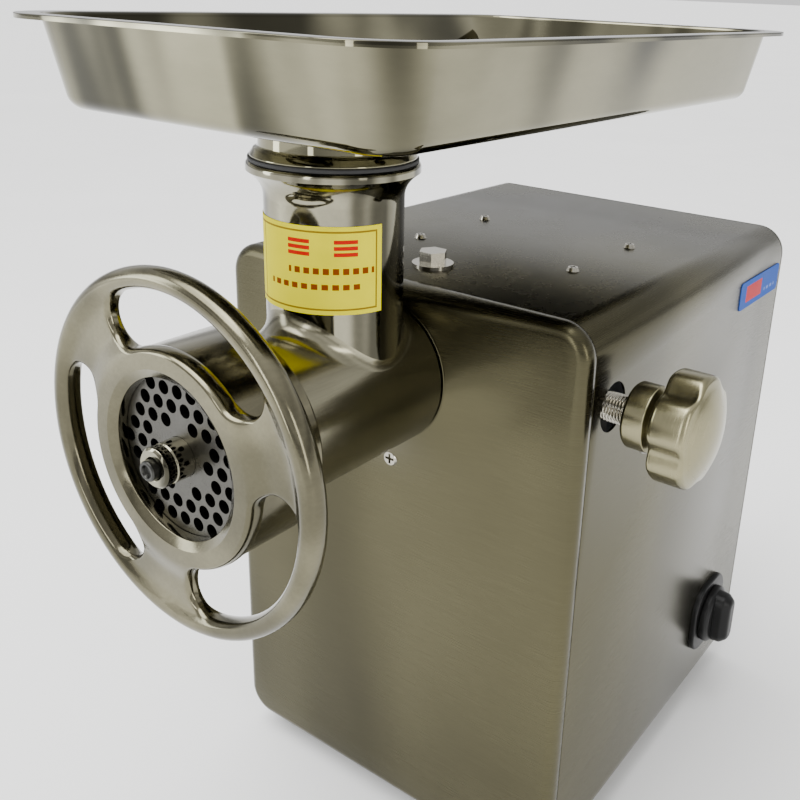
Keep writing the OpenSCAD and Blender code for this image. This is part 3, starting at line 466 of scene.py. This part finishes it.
FINISHES.update({
    "black_rubber": moulded("black_rubber", (0.028, 0.028, 0.028), (0.014, 0.014, 0.014), (0.55, 0.75)),
    "black_plastic": moulded("black_plastic", (0.006, 0.006, 0.006), (0.003, 0.003, 0.003), (0.30, 0.45),
        grit=1500.0, bump=0.05, specular=0.2),
    "yellow_label": label("yellow_label", (0.78, 0.70, 0.0), (0.50, 0.008, 0.002), (0.20, 0.04, 0.0),
        (0.24, 0.15, 0.01), rows=[(0.50, 0.035, 0.57, 0.96, 18), (0.32, 0.032, 0.46, 0.90, 19)],
        blocks=[(across, 0.052, up, 0.022) for across in (0.62, 0.83) for up in (0.83, 0.76, 0.69)]),
    "blue_label": label("blue_label", (0.03, 0.09, 0.38), (0.45, 0.05, 0.06), (0.16, 0.22, 0.5),
        (0.02, 0.05, 0.2), rows=[(0.3, 0.06, 0.62, 0.9, 6)], blocks=[(0.34, 0.2, 0.5, 0.3)], border=False),
})


def dress_frame():
    """Every CAD node that stays in view takes the finish of its material slot."""
    slots = {part["node"]: part["material_slot"] for part in frame["record"]["subparts"]}
    for name, obj in frame["nodes"].items():
        obj.data.materials.clear()
        obj.data.materials.append(FINISHES[slots[name]])


# ---------------------------------------------------------------- housing
def rounded_outline(half_w, half_h, radius, corner_steps=10, edge_steps=12):
    """Points round a rectangle with round corners, the same number at any size."""
    points = []
    for k, (sx, sy) in enumerate(((1, 1), (-1, 1), (-1, -1), (1, -1))):
        for i in range(corner_steps + 1):
            a = radians(90 * k + 90 * i / corner_steps)
            points.append((sx * (half_w - radius) + radius * cos(a),
                sy * (half_h - radius) + radius * sin(a)))
        nx, ny = ((-1, 1), (-1, -1), (1, -1), (1, 1))[k]
        a = radians(90 * (k + 1))
        end = (nx * (half_w - radius) + radius * cos(a), ny * (half_h - radius) + radius * sin(a))
        start = points[-1]
        for i in range(1, edge_steps):
            t = i / edge_steps
            points.append((start[0] + (end[0] - start[0]) * t, start[1] + (end[1] - start[1]) * t))
    return points


def housing_outline(inset, corner_steps, edge_steps):
    """The housing's round-cornered section, seen from the front, drawn in by an inset."""
    mid_z, half_h = (TOP + FLOOR_EDGE) / 2, (TOP - FLOOR_EDGE) / 2
    return [(x, z + mid_z) for x, z in rounded_outline(SIDE - inset, half_h - inset, CORNER_R - inset,
        corner_steps, edge_steps)]


CORNER_R = 22
SHEET = 1.5
PANEL_RIM = 11
COLLAR_R = 47.5
COLLAR_OUT = 10
SHANK_HOLE = 43


def front_panel():
    """The pressed front: a flat face that swells into the head's collar, with eased, folded edges."""
    ease = 8

    def outline(inset):
        return housing_outline(inset, corner_steps=12, edge_steps=36)

    edge, inner = outline(0), outline(ease)
    angles = [atan2(z - HEAD_Z, x - HEAD_X) for x, z in inner]

    def swell(x, z):
        """How far the face stands out at a point, more widely towards the upper corners."""
        away = hypot(x - HEAD_X, z - HEAD_Z)
        up = max(0.0, sin(atan2(z - HEAD_Z, abs(x - HEAD_X)) * 1.6 + 0.55))
        reach = 42 + 72 * up ** 2
        u = min(1.0, max(0.0, (away - COLLAR_R) / reach))
        return -(COLLAR_OUT - 0.6) * (1 - u) ** 2.2

    loops = []
    for radius, depth in eased([(SHANK_HOLE, SHEET, 0), (SHANK_HOLE, -COLLAR_OUT, 0.6),
            (COLLAR_R, -COLLAR_OUT, 0.5), (COLLAR_R + 0.05, -COLLAR_OUT + 0.6, 0)],
            closed=False, steps=3):
        loops.append([on_head(radius * cos(a), radius * sin(a), depth) for a in angles])
    rings = 26
    for k in range(rings + 1):
        t = (k / rings) ** 1.7
        loop = []
        for a, (x, z) in zip(angles, inner):
            px = HEAD_X + COLLAR_R * cos(a) * (1 - t) + (x - HEAD_X) * t
            pz = HEAD_Z + COLLAR_R * sin(a) * (1 - t) + (z - HEAD_Z) * t
            loop.append((px, FRONT + swell(px, pz), pz))
        loops.append(loop)
    raised = [swell(x, z) for x, z in inner]
    folds = 7
    for step in range(1, folds + 1):
        turn = radians(90 * step / folds)
        ring = outline(ease * (1 - sin(turn)))
        loops.append([(x, FRONT + ease - (ease - h) * cos(turn), z) for (x, z), h in zip(ring, raised)])
    loops.append([(x, FRONT + PANEL_RIM - 0.4, z) for x, z in edge])
    loops.append([(x, FRONT + PANEL_RIM, z) for x, z in outline(0.4)])
    loops.append([(x, FRONT + PANEL_RIM, z) for x, z in outline(SHEET)])
    loops.append([(x, FRONT + ease, z) for x, z in outline(SHEET)])
    loops.append([(x, FRONT + SHEET, z) for x, z in outline(ease)])
    obj = make_mesh("front_panel_skin", skin(loops, close=True), sharp=50)
    return piece("front_panel_skin", obj, "brushed_housing", "housing", ["front_panel"])


CLAMP_HOLE = 16
BOTTOM_LIP = 38


def wrap_cover():
    """The cover's sheet, bent over the top and sides, with a hole for the clamp screw."""
    y_from, y_to = FRONT + PANEL_RIM + 0.5, REAR - SHEET - 0.5
    loops = [[(x, y, z) for x, z in housing_outline(inset, corner_steps=16, edge_steps=2)]
        for inset, y in eased([(0, y_from, 0.5), (0, y_to, 0.5), (SHEET, y_to, 0), (SHEET, y_from, 0)],
            steps=2)]
    obj = make_mesh("wrap_cover_skin", skin(loops, close=True), sharp=30)
    lip = SIDE - CORNER_R - BOTTOM_LIP
    low, high = FLOOR_EDGE - 2, FLOOR_EDGE + 6
    opening = [[(x, y, z) for x, z in ((-lip, low), (lip, low), (lip, high), (-lip, high))]
        for y in (y_from - 5, y_to + 5)]
    cut(obj, skin(opening, start_cap=True, end_cap=True), sharp=30)
    cut(obj, rod(on_clamp, CLAMP_HOLE, SIDE - 8, SIDE + 5, 72), sharp=30)
    return piece("wrap_cover_skin", obj, "brushed_housing", "housing", ["wrap_cover"])


# ---------------------------------------------------------------- head
BARREL_R = 47.5
BORE_R = 41.5
NECK_R = 39.5
NECK_BORE = 34.5
FLANGE_R = 48.5
MOUTH_R = 54.5
MOUTH_BORE = 49.3
MOUTH_BACK = -146
BARREL_END = -168
SEAM = 2.0


def barrel():
    """The barrel with its bore, threaded mouth and shank."""
    seam, shank_end, web_front, web_back = -COLLAR_OUT - SEAM, 46, -20, -8
    corners = [(MOUTH_BORE, BARREL_END, 0.8), (MOUTH_R, BARREL_END, 1.2), (MOUTH_R, MOUTH_BACK, 1.0),
        (51, MOUTH_BACK, 0), (51, -138, 0.6), (BARREL_R, -137, 0.8), (BARREL_R, seam, 1.1), (42, seam, 0),
        (42, shank_end, 1), (34, shank_end, 0.5), (34, web_back, 0), (15.1, web_back, 0.5),
        (15.1, web_front, 0), (BORE_R, web_front, 1), (BORE_R, -152, 0), (MOUTH_BORE, -152, 0)]
    obj = make_mesh("barrel", turned(eased(corners, steps=4), on_head, even_angles(160)), sharp=40)
    return cut(obj, rod(on_neck, NECK_BORE, HEAD_Z + 12, HEAD_Z + 70, 96), sharp=40)


def neck():
    """The feed neck: a flanged pipe that stands on the barrel in a smooth saddle."""
    angles = even_angles(144)
    saddle_r = (BARREL_R + BORE_R) / 2
    flare = [(NECK_R + (FLANGE_R - NECK_R) * (i / 10) ** 2.4, NECK_TOP - 20 + 1.5 * i) for i in range(11)]
    lip = eased([(FLANGE_R, NECK_TOP - 5, 0), (FLANGE_R, NECK_TOP, 2.2), (NECK_BORE + 2, NECK_TOP, 0)],
        closed=False, steps=6)
    inside = [(NECK_BORE + 1.2, NECK_TOP), (NECK_BORE, NECK_TOP - 1.5), (NECK_BORE, HEAD_Z + 60)]

    def saddle(r):
        return [on_neck(r * cos(a), r * sin(a), HEAD_Z + sqrt(saddle_r ** 2 - (r * cos(a)) ** 2))
            for a in angles]

    levels = [(NECK_R, HEAD_Z + 60), (NECK_R, HEAD_Z + 90)] + flare + lip[1:] + inside
    loops = [saddle(NECK_R)] + [circle(on_neck, r, z, len(angles)) for r, z in levels]
    loops.append(saddle(NECK_BORE))
    return skin(loops, close=True)


def saddle_fillet(radius=12):
    """The rounded weld between neck and barrel: a ball of this radius rolled round the joint."""
    far_n, far_b = NECK_R + radius, BARREL_R + radius
    loops = []
    for a in even_angles(144):
        cx, cy = far_n * cos(a), far_n * sin(a)
        cz = sqrt(far_b ** 2 - cx ** 2)
        centre = Vector((cx, cy, cz))
        on_pipe = Vector((NECK_R * cos(a), NECK_R * sin(a), cz)) - centre
        on_barrel = Vector((cx * BARREL_R / far_b, cy, cz * BARREL_R / far_b)) - centre
        arc = []
        for k in range(13):
            p = centre + on_pipe.slerp(on_barrel, k / 12).normalized() * radius
            arc.append((HEAD_X + p.x, NECK_Y + p.y, HEAD_Z + p.z))
        inner = centre + (on_pipe + on_barrel).normalized() * (radius + 4)
        arc.append((HEAD_X + inner.x * 0.985, NECK_Y + inner.y * 0.985, HEAD_Z + inner.z - 1))
        loops.append(arc)
    return skin(loops, close=True)


def head():
    """The barrel, the neck and the weld between them, as three pieces of one casting."""
    body = barrel()
    pipe = make_mesh("pipe", neck(), sharp=40)
    fillet = make_mesh("fillet", saddle_fillet(), sharp=60)
    for obj, name in ((body, "barrel_skin"), (pipe, "feed_neck"), (fillet, "neck_fillet")):
        finish = "polished_steel" if name == "feed_neck" else "satin_steel"
        piece(name, obj, finish, "head", ["head_barrel"])


def lay_print(obj, place):
    """Maps a label's print over its face. place gives the share along and up for a point in mm."""
    wrap = obj.data.uv_layers.new(name="print")
    for loop in obj.data.loops:
        wrap.data[loop.index].uv = place(*[c / MM for c in obj.data.vertices[loop.vertex_index].co])


def neck_label():
    """The curved label round the neck's front."""
    lo, hi = box_mm("neck_label")
    z_lo, z_hi = lo[2], hi[2]
    start, end, r_out, r_in = radians(-188), radians(-8), NECK_R + 0.38, NECK_R - 0.1
    steps = 60
    angles = [start + (end - start) * i / steps for i in range(steps + 1)]
    loops = [[on_neck(r * cos(a), r * sin(a), z) for a in angles]
        for r, z in ((r_in, z_lo), (r_out, z_lo), (r_out, z_hi), (r_in, z_hi))]
    obj = make_mesh("neck_label_print", skin(loops, ring=False, close=True), sharp=40)

    def place(x, y, z):
        a = atan2(y - NECK_Y, x - HEAD_X)
        if a > 0:
            a -= 2 * pi
        return (a - start) / (end - start), (z - z_lo) / (z_hi - z_lo)

    lay_print(obj, place)
    return piece("neck_label_print", obj, "yellow_label", "head", ["neck_label"])


# ---------------------------------------------------------------- handwheel
# radii, angles in degrees, and stations along the head's axis
RIM_R = 94
OPEN_IN = 59.8
OPEN_OUT = 88.6
HALF_OPEN = 33.5
HALF_CELL = 60
OPEN_TILT = 79
WHEEL_MID = -172
HUB_R = 59
WEB_IN_R = HUB_R - 2.5
FACE_R, DISH_R, RISE_R = 57, 72, 86
HALF_WEB, HALF_RIM_FRONT, HALF_RIM_BACK = 4.2, 7.2, 7.0
HUB_FRONT = wheel_lo[1] - FRONT
HUB_LEN = 52


def wheel_front(r):
    """Station of the wheel's front surface at a radius: flat at the hub, dished, then up to the rim."""
    hub, web, rim = HUB_FRONT + 0.6, WHEEL_MID - HALF_WEB, WHEEL_MID - HALF_RIM_FRONT
    if r < FACE_R:
        return hub
    if r < DISH_R:
        return hub + (web - hub) * smooth((r - FACE_R) / (DISH_R - FACE_R))
    if r < RISE_R:
        return web
    return web + (rim - web) * smooth(min(1, (r - RISE_R) / (RIM_R - RISE_R)))


def wheel_back(r):
    """Station of the wheel's back surface at a radius."""
    web, rim = WHEEL_MID + HALF_WEB, WHEEL_MID + HALF_RIM_BACK
    return web + (rim - web) * smooth(min(1, max(0, (r - RISE_R) / (RIM_R - RISE_R))))


def wheel_cell():
    """Matching points round one opening and round the third of the wheel that it sits in."""
    mid, end_r = (OPEN_IN + OPEN_OUT) / 2, (OPEN_OUT - OPEN_IN) / 2
    r_in, r_out = WEB_IN_R, RIM_R
    arcs, side, cross = 24, 8, 10
    rims, cells = [], []

    def put(kidney, cell, sign=1):
        rims.append((kidney[0], sign * kidney[1]))
        cells.append((cell[0], sign * cell[1]))

    def cap():
        """From the outer arc's end, round the opening's end, to the inner arc's end."""
        targets = [(r_out, HALF_OPEN + (HALF_CELL - HALF_OPEN) * i / side) for i in range(1, side + 1)]
        targets += [(r_out + (r_in - r_out) * i / cross, HALF_CELL) for i in range(1, cross + 1)]
        targets += [(r_in, HALF_CELL + (HALF_OPEN - HALF_CELL) * i / side) for i in range(1, side)]
        made = []
        for r, a in targets:
            dr, ds = r - mid, radians(a - HALF_OPEN) * mid
            far = hypot(dr, ds)
            px = mid + end_r * dr / far
            made.append(((px, HALF_OPEN + end_r * ds / far / radians(1) / mid), (r, a)))
        return made

    for i in range(arcs + 1):
        a = -HALF_OPEN + 2 * HALF_OPEN * i / arcs
        put((OPEN_OUT, a), (r_out, a))
    for kidney, cell in cap():
        put(kidney, cell)
    for i in range(arcs + 1):
        a = HALF_OPEN - 2 * HALF_OPEN * i / arcs
        put((OPEN_IN, a), (r_in, a))
    for kidney, cell in reversed(cap()):
        put(kidney, cell, -1)
    return rims, cells


def flat(r, degrees_):
    """A point of the wheel's plane from its radius and its angle in degrees."""
    return Vector((r * cos(radians(degrees_)), r * sin(radians(degrees_))))


def wheel_web():
    """The dished web: three thirds, each round one eased opening."""
    rims, cells = wheel_cell()
    ease = 2.6
    parts = []
    for third in range(3):
        tilt = OPEN_TILT + 120 * third
        kidney = [flat(r, a + tilt) for r, a in rims]
        cell = [flat(r, a + tilt) for r, a in cells]
        n = len(kidney)
        out = []
        for i in range(n):
            along = (kidney[(i + 1) % n] - kidney[i - 1]).normalized()
            normal = Vector((along.y, -along.x))
            if normal.dot(cell[i] - kidney[i]) < 0:
                normal = -normal
            out.append(normal)
        loops = []

        def level(t, surface):
            """A loop between the eased edge and the cell's border, on the front or back surface."""
            points = []
            for k, c, o in zip(kidney, cell, out):
                p = (k + o * ease).lerp(c, t)
                points.append(on_head(p.x, p.y, surface(p.length)))
            return points

        for t in (1, 0.75, 0.5, 0.25, 0.1):
            loops.append(level(t, wheel_back))
        for step in range(13):
            turn = radians(180 * step / 12)
            points = []
            for k, o in zip(kidney, out):
                p = k + o * ease * (1 - sin(turn))
                front, back = wheel_front(p.length), wheel_back(p.length)
                points.append(on_head(p.x, p.y, (front + back) / 2 + (back - front) / 2 * cos(turn)))
            loops.append(points)
        for t in (0.1, 0.25, 0.5, 0.75, 1):
            loops.append(level(t, wheel_front))
        parts.append(skin(loops))
    return joined(*parts)


def wheel_rim_and_hub():
    """The round rim outside the web, and the hub that reaches back over the barrel's mouth."""
    rims, cells = wheel_cell()
    third = sorted({round(a, 6) for r, a in cells if r == RIM_R})[:-1]
    angles = [radians(a + OPEN_TILT + 120 * k) for k in range(3) for a in third]
    front, back = wheel_front(RIM_R), wheel_back(RIM_R)
    mid, half = (front + back) / 2, (back - front) / 2
    rim = [(RIM_R, front)]
    for i in range(1, 12):
        t = radians(-90 + 180 * i / 12)
        rim.append((RIM_R + (WHEEL_R - RIM_R) * cos(t) ** 0.8, mid + half * sin(t)))
    rim.append((RIM_R, back))
    ledge, hub_bore, hub_end = -170.6, MOUTH_R + 0.3, HUB_FRONT + HUB_LEN
    lip = [(WEB_IN_R, wheel_front(WEB_IN_R))] + eased([(52, wheel_front(52), 0), (49, HUB_FRONT + 0.6, 0.8),
        (44, HUB_FRONT + 3.6, 0.8), (43.5, ledge - 0.1, 0.3), (hub_bore, ledge, 0.5),
        (hub_bore, hub_end, 0.8), (HUB_R, hub_end, 1.6), (HUB_R, WHEEL_MID, 0)], closed=False, steps=4)[1:]
    return joined(turned(rim, on_head, angles, close=False), turned(lip, on_head, angles, close=False))


def handwheel():
    """The handwheel nut: web, rim and hub as one casting."""
    shape = joined(wheel_web(), wheel_rim_and_hub())
    obj = make_mesh("handwheel_casting", shape, sharp=48, merge=0.02)
    return piece("handwheel_casting", obj, "wheel_steel", "handwheel", ["handwheel"])


PIN_R = 11


def pin():
    """The auger's pin: a polished sleeve with a groove, and a near-black plug in its end that stands for the
    shade inside its bore: painted shade.
    """
    lo, hi = box_mm("auger_pin")
    front, back = lo[1] - FRONT, hi[1] - FRONT
    groove = front + 5
    sleeve = eased([(5.8, front + 0.8, 0.3), (6.6, front, 0.3), (9.6, front, 0.5), (PIN_R, front + 1.2, 0.5),
        (PIN_R, groove, 0.3), (10.4, groove + 0.6, 0.3), (10.4, groove + 2, 0.3), (PIN_R, groove + 2.6, 0.3),
        (PIN_R, back, 0), (5.8, back, 0)], steps=3)
    piece("pin_sleeve", turned(sleeve, on_head, even_angles(80)), "polished_steel", "auger", ["auger_pin"])
    # painted shade: the near-black plug fills the sleeve's end to stand for the shade inside its bore
    lo, hi = box_mm("pin_plug")
    front, back = lo[1] - FRONT, hi[1] - FRONT
    bore_shade = eased([(0, front + 2, 0), (3, front + 2, 0.2), (3.6, front, 0.3), (4.9, front, 0.5),
        (5.5, front + 0.8, 0.3), (5.5, back, 0), (0, back, 0)], steps=3)
    piece("pin_bore_shade", turned(bore_shade, on_head, even_angles(60)), "pin_bore", "auger", ["pin_plug"])


# ---------------------------------------------------------------- tray
TRAY_CORNER = 46
TRAY_FLAT = 38
TRAY_HOLE = 34.3
THROAT_R = 31
SPIGOT_R = 34.2
COLLAR_SEAT_GAP = 0.15


def tray():
    """The pressed pan: eased rim flange, leaning walls, round floor bend and the hole for its spigot."""
    t = SHEET
    outside = eased([(0, TRAY_RIM - 2.6, 0.4), (0, TRAY_RIM, 0.5), (13.0 + t, TRAY_RIM, 3.2),
        (24 + t, TRAY_FLOOR + t, 8), (TRAY_FLAT, TRAY_FLOOR + t, 0)], closed=False, steps=7)
    under = eased([(TRAY_FLAT, TRAY_FLOOR, 0), (23.4, TRAY_FLOOR, 9.5), (13.0, TRAY_RIM - t, 1.8),
        (1.4, TRAY_RIM - t, 0.2), (1.4, TRAY_RIM - 2.6, 0)], closed=False, steps=7)

    def outline(inset, z):
        return [(TRAY_X + x, TRAY_Y + y, z) for x, y in rounded_outline(TRAY_W / 2 - inset,
            TRAY_L / 2 - inset, TRAY_CORNER - inset, corner_steps=14, edge_steps=10)]

    def hole(z):
        angles = [atan2(y - NECK_Y, x - HEAD_X) for x, y, level in outline(TRAY_FLAT, z)]
        return [on_neck(TRAY_HOLE * cos(a), TRAY_HOLE * sin(a), z) for a in angles]

    def between(a, b, share):
        return [tuple(p + (q - p) * share for p, q in zip(u, v)) for u, v in zip(a, b)]

    loops = [outline(inset, z) for inset, z in outside]
    rim_hole = hole(TRAY_FLOOR + t)
    loops += [between(loops[-1], rim_hole, s) for s in (0.3, 0.6)] + [rim_hole, hole(TRAY_FLOOR)]
    floor = outline(TRAY_FLAT, TRAY_FLOOR)
    loops += [between(hole(TRAY_FLOOR), floor, s) for s in (0.4, 0.7)]
    loops += [outline(inset, z) for inset, z in under]
    obj = make_mesh("tray_pan", skin(loops, close=True), sharp=40)
    return piece("tray_pan", obj, "tray_steel", "tray", ["tray"])


def spigot():
    """The tray's throat: a short pipe with a collar, and a black ring under the collar that stands for the
    shadow between the collar and the neck's flange: painted shadow.
    """
    lo, hi = box_mm("tray_spigot")
    bottom, top = lo[2], hi[2]
    seat, under_floor = NECK_TOP + COLLAR_SEAT_GAP, TRAY_FLOOR - 0.05
    profile = eased([(THROAT_R, bottom + 1, 0.4), (32, bottom, 0.4), (SPIGOT_R, bottom, 0.8),
        (SPIGOT_R, seat, 0), (44.5, seat, 1.2), (46.5, seat + 3, 1.0), (44, seat + 6.5, 1.0),
        (41.5, seat + 7.5, 1.5), (41, under_floor, 0), (SPIGOT_R, under_floor, 0),
        (SPIGOT_R, top, 0.5), (THROAT_R, top, 0.8)], steps=4)
    throat = turned(profile, on_neck, even_angles(120))
    piece("tray_throat", throat, "tray_steel", "tray", ["tray_spigot"])
    # painted shadow: a black rubber ring between the collar and the neck's flange stands for the shadow there
    ring = eased([(34.4, seat, 0.3), (47.2, seat, 0.5), (47.2, seat + 2.4, 0.8), (44, seat + 3.0, 0.5),
        (34.4, seat + 3.0, 0)], steps=3)
    piece("flange_shadow_ring", turned(ring, on_neck, even_angles(120)), "black_rubber", "tray")


# ---------------------------------------------------------------- clamp screw, switch, small parts
def knob():
    """The clamp knob: turned collar, groove and a fluted, domed hand grip."""
    start, end = knob_lo[0], knob_hi[0]
    collar = eased([(9.6, start, 0.2), (18.8, start, 1.6), (20.5, start + 2, 1.6), (20.5, start + 14.4, 1.4),
        (18.6, start + 16, 0.8), (17.5, start + 17, 0.4), (17.5, start + 23, 0), (9.6, start + 23, 0)],
        steps=5)
    body_start, dome = start + 22, 7
    shoulder = end - dome
    deep, lobes, half_flute = 4.8, 5, radians(21)
    flutes = [radians(48 + 360 * k / lobes) for k in range(lobes)]
    radius = (knob_hi[1] - knob_lo[1]) / 2

    def grip(r_share, s, flute=1.0):
        """A loop at station s; flute is how much of the flutes' depth it has."""
        loop = []
        for a in even_angles(180):
            near = min(abs((a - flute_at + pi) % (2 * pi) - pi) for flute_at in flutes)
            t = min(1, near / half_flute)
            dip = deep * (1 - smooth(t))
            r = radius * r_share - dip * flute
            loop.append(on_clamp(r * cos(a), r * sin(a), s))
        return loop

    loops = [grip(0.001, body_start, 0.0), grip(0.6, body_start, 0.6), grip(0.9, body_start, 0.95)]
    for k in range(1, 6):
        t = radians(90 * k / 5)
        loops.append(grip(0.9 + 0.1 * sin(t), body_start + 3.4 * (1 - cos(t))))
    loops.append(grip(1.0, shoulder - 4.5))
    for k in range(1, 7):
        t = radians(90 * k / 6)
        loops.append(grip(1.0 - 0.11 * (1 - cos(t)), shoulder - 4.5 + 4.4 * sin(t), 1 - 0.75 * k / 6))
    for k in range(1, 12):
        t = k / 11
        share = 0.89 * (1 - t) + 0.0005
        loops.append(grip(share, shoulder + (dome - 0.1) * (1 - (1 - t) ** 2), 0.25 * (1 - t) ** 4))
    shape = joined(turned(collar, on_clamp, even_angles(96)), skin(loops))
    piece("clamp_grip", shape, "knob_steel", "clamp_knob", ["knob"], sharp=40)


def clamp_stem():
    """The clamp screw with its rolled thread where it shows outside the housing."""
    lo, hi = box_mm("clamp_screw")
    inside, outside = lo[0], hi[0]
    steps, pitch = 48, 2.0
    thread_from, thread_to = SIDE - 11, outside - 4
    core, crest, shaft = 8.3, 9.5, 8
    loops = [circle(on_clamp, r, s, steps) for r, s in ((0.01, inside), (7, inside), (shaft, inside + 1),
        (shaft, thread_from - 1))]
    count = int((thread_to - thread_from) / pitch * 8)
    for j in range(count + 1):
        s = thread_from + (thread_to - thread_from) * j / count
        loop = []
        for a in even_angles(steps):
            phase = (s / pitch + a / (2 * pi)) % 1.0
            r = core + (crest - core) * (1 - abs(2 * phase - 1)) ** 0.8
            loop.append(on_clamp(r * cos(a), r * sin(a), s))
        loops.append(loop)
    loops += [circle(on_clamp, r, s, steps) for r, s in ((core, thread_to + 0.2), (core, outside),
        (0.01, outside))]
    piece("clamp_stem", skin(loops), "bright_fastener", "clamp_knob", ["clamp_screw"], sharp=60)


def rotary_switch():
    """The black rotary switch: a rounded face plate and a full grip on a turned skirt."""
    back, face = SIDE, switch_hi[0]
    half = (switch_hi[1] - switch_lo[1]) / 2
    loops = []
    for inset, s in eased([(0, back, 0), (0, face, 1.6), (30, face, 0)], closed=False, steps=5):
        loops.append([on_switch(u, v, s) for u, v in rounded_outline(half - inset, half - inset,
            max(0.4, 20 - inset * 0.6), corner_steps=8, edge_steps=6)])
    contacts = rod(on_switch, 20, SIDE - 34, SIDE + 0.5, 60)
    plate = joined(skin(loops, start_cap=True, end_cap=True), contacts)
    piece("switch_face", plate, "black_plastic", "housing", ["switch_plate"])
    skirt_from, top = face + 0.4, box_mm("switch_knob")[1][0]
    stem_end, skirt_top = SIDE - 16, skirt_from + 7.4
    skirt = eased([(0, stem_end, 0), (5, stem_end, 0), (5, skirt_from, 0), (25, skirt_from, 0.6),
        (25, skirt_from + 5, 2), (21.5, skirt_top, 1.5), (0, skirt_top, 0)], closed=False, steps=4)
    bar = []
    for inset, s in eased([(0, skirt_from + 5, 0), (0.8, top - 6, 3), (5.5, top, 5), (8.5, top, 0)],
            closed=False, steps=4):
        bar.append([on_switch(u, v, s) for u, v in rounded_outline(11.5 - inset, 24 - inset,
            10.5 - inset * 0.9, corner_steps=8, edge_steps=4)])
    shape = joined(turned(skirt, on_switch, even_angles(72), close=False),
        skin(bar, start_cap=True, end_cap=True))
    piece("switch_grip", shape, "black_plastic", "switch", ["switch_knob"])


def side_label():
    """The small printed label near the top of the right side."""
    lo, hi = box_mm("side_label")
    edges = eased([(lo[1], lo[2], 3), (hi[1], lo[2], 3), (hi[1], hi[2], 3), (lo[1], hi[2], 3)], steps=4)
    loops = [[(s, y, z) for y, z in edges] for s in (lo[0], hi[0])]
    obj = make_mesh("side_label_print", skin(loops, start_cap=True, end_cap=True))
    lay_print(obj, lambda x, y, z: ((y - lo[1]) / (hi[1] - lo[1]), (z - lo[2]) / (hi[2] - lo[2])))
    return piece("side_label_print", obj, "blue_label", "housing", ["side_label"])


# ---------------------------------------------------------------- studio
def camera():
    """A view from the front right, from above the machine, tilted slightly."""
    place = Vector((0.3729, -0.6169, 0.5983))
    yaw, pitch, roll = radians(34.65), radians(-19.92), radians(2.36)
    ahead = Vector((-sin(yaw) * cos(pitch), cos(yaw) * cos(pitch), sin(pitch)))
    level = Vector((cos(yaw), sin(yaw), 0))
    upright = level.cross(ahead)
    right = level * cos(roll) + upright * sin(roll)
    up = upright * cos(roll) - level * sin(roll)
    data = bpy.data.cameras.new("camera")
    data.sensor_width, data.lens = 36, 43.11
    data.shift_x, data.shift_y = -0.0824, -0.0778
    data.clip_start, data.clip_end = 0.01, 1500
    obj = bpy.data.objects.new("camera", data)
    obj.matrix_world = Matrix((
        (right.x, up.x, -ahead.x, place.x), (right.y, up.y, -ahead.y, place.y),
        (right.z, up.z, -ahead.z, place.z), (0, 0, 0, 1)))
    bpy.context.scene.collection.objects.link(obj)
    bpy.context.scene.camera = obj


def floor():
    """A plain pale floor that reaches the horizon."""
    half = 400000
    corners = [(-half, -half, 0), (half, -half, 0), (half, half, 0), (-half, half, 0)]
    obj = make_mesh("floor", (corners, [(0, 1, 2, 3)]))
    material, tree, shader = blank_material("studio_floor")
    mask = use(tree, CLOUDS, Size=2.0)["Mask"]
    tree.links.new(mix_colour(tree, mask, (0.915, 0.915, 0.91), (0.94, 0.94, 0.935)),
        shader.inputs["Base Color"])
    shader.inputs["Roughness"].default_value = 0.7
    obj.data.materials.append(material)


def softbox(name, place, target, width, height, power, colour=(1, 1, 1)):
    """A rectangular soft light that faces its target."""
    data = bpy.data.lights.new(name, "AREA")
    data.shape, data.size, data.size_y = "RECTANGLE", width, height
    data.energy, data.color = power, colour
    obj = bpy.data.objects.new(name, data)
    obj.location = place
    obj.rotation_euler = (Vector(target) - Vector(place)).to_track_quat("-Z", "Y").to_euler()
    bpy.context.scene.collection.objects.link(obj)


def studio_light():
    """A pale horizon, a darker band and a bright ceiling, a broad key and four soft panels."""
    world = bpy.data.worlds.new("studio")
    world.use_nodes = True
    tree = world.node_tree
    towards = add(tree, "ShaderNodeTexCoord").outputs["Generated"]
    up = add(tree, "ShaderNodeSeparateXYZ", {0: towards}).outputs[2]
    ramp = add(tree, "ShaderNodeValToRGB", {"Fac": up})
    levels = ramp.color_ramp.elements
    levels[0].position, levels[1].position = 0.0, 0.07
    for position in (0.11, 0.26, 0.50, 0.95):
        levels.new(position)
    for level, light in zip(levels, (0.66, 0.66, 0.34, 0.95, 0.55, 1.0)):
        level.color = (light, light, light, 1)
    back = tree.nodes["Background"]
    tree.links.new(ramp.outputs["Color"], back.inputs["Color"])
    back.inputs["Strength"].default_value = 1.35
    bpy.context.scene.world = world
    sun = bpy.data.lights.new("sky_panel", "SUN")
    sun.energy, sun.angle = 3.3, radians(50)
    obj = bpy.data.objects.new("sky_panel", sun)
    obj.rotation_euler = (radians(18), radians(-14), 0)
    bpy.context.scene.collection.objects.link(obj)
    softbox("overhead", (-0.2, -0.2, 2.4), (0, 0, 0.3), 1.4, 1.4, 16)
    softbox("left_window", (-1.6, -1.5, 1.0), (0, -0.1, 0.35), 0.5, 1.6, 18, (0.95, 0.98, 1.0))
    softbox("front_strip", (0.3, -2.2, 1.0), (0, 0, 0.35), 0.30, 1.4, 10)
    softbox("right_strip", (2.0, -0.6, 0.9), (0, 0, 0.35), 0.4, 1.2, 10, (1.0, 0.98, 0.94))


camera()
floor()
studio_light()
dress_frame()
front_panel()
wrap_cover()
head()
neck_label()
handwheel()
pin()
tray()
spigot()
knob()
clamp_stem()
rotary_switch()
side_label()
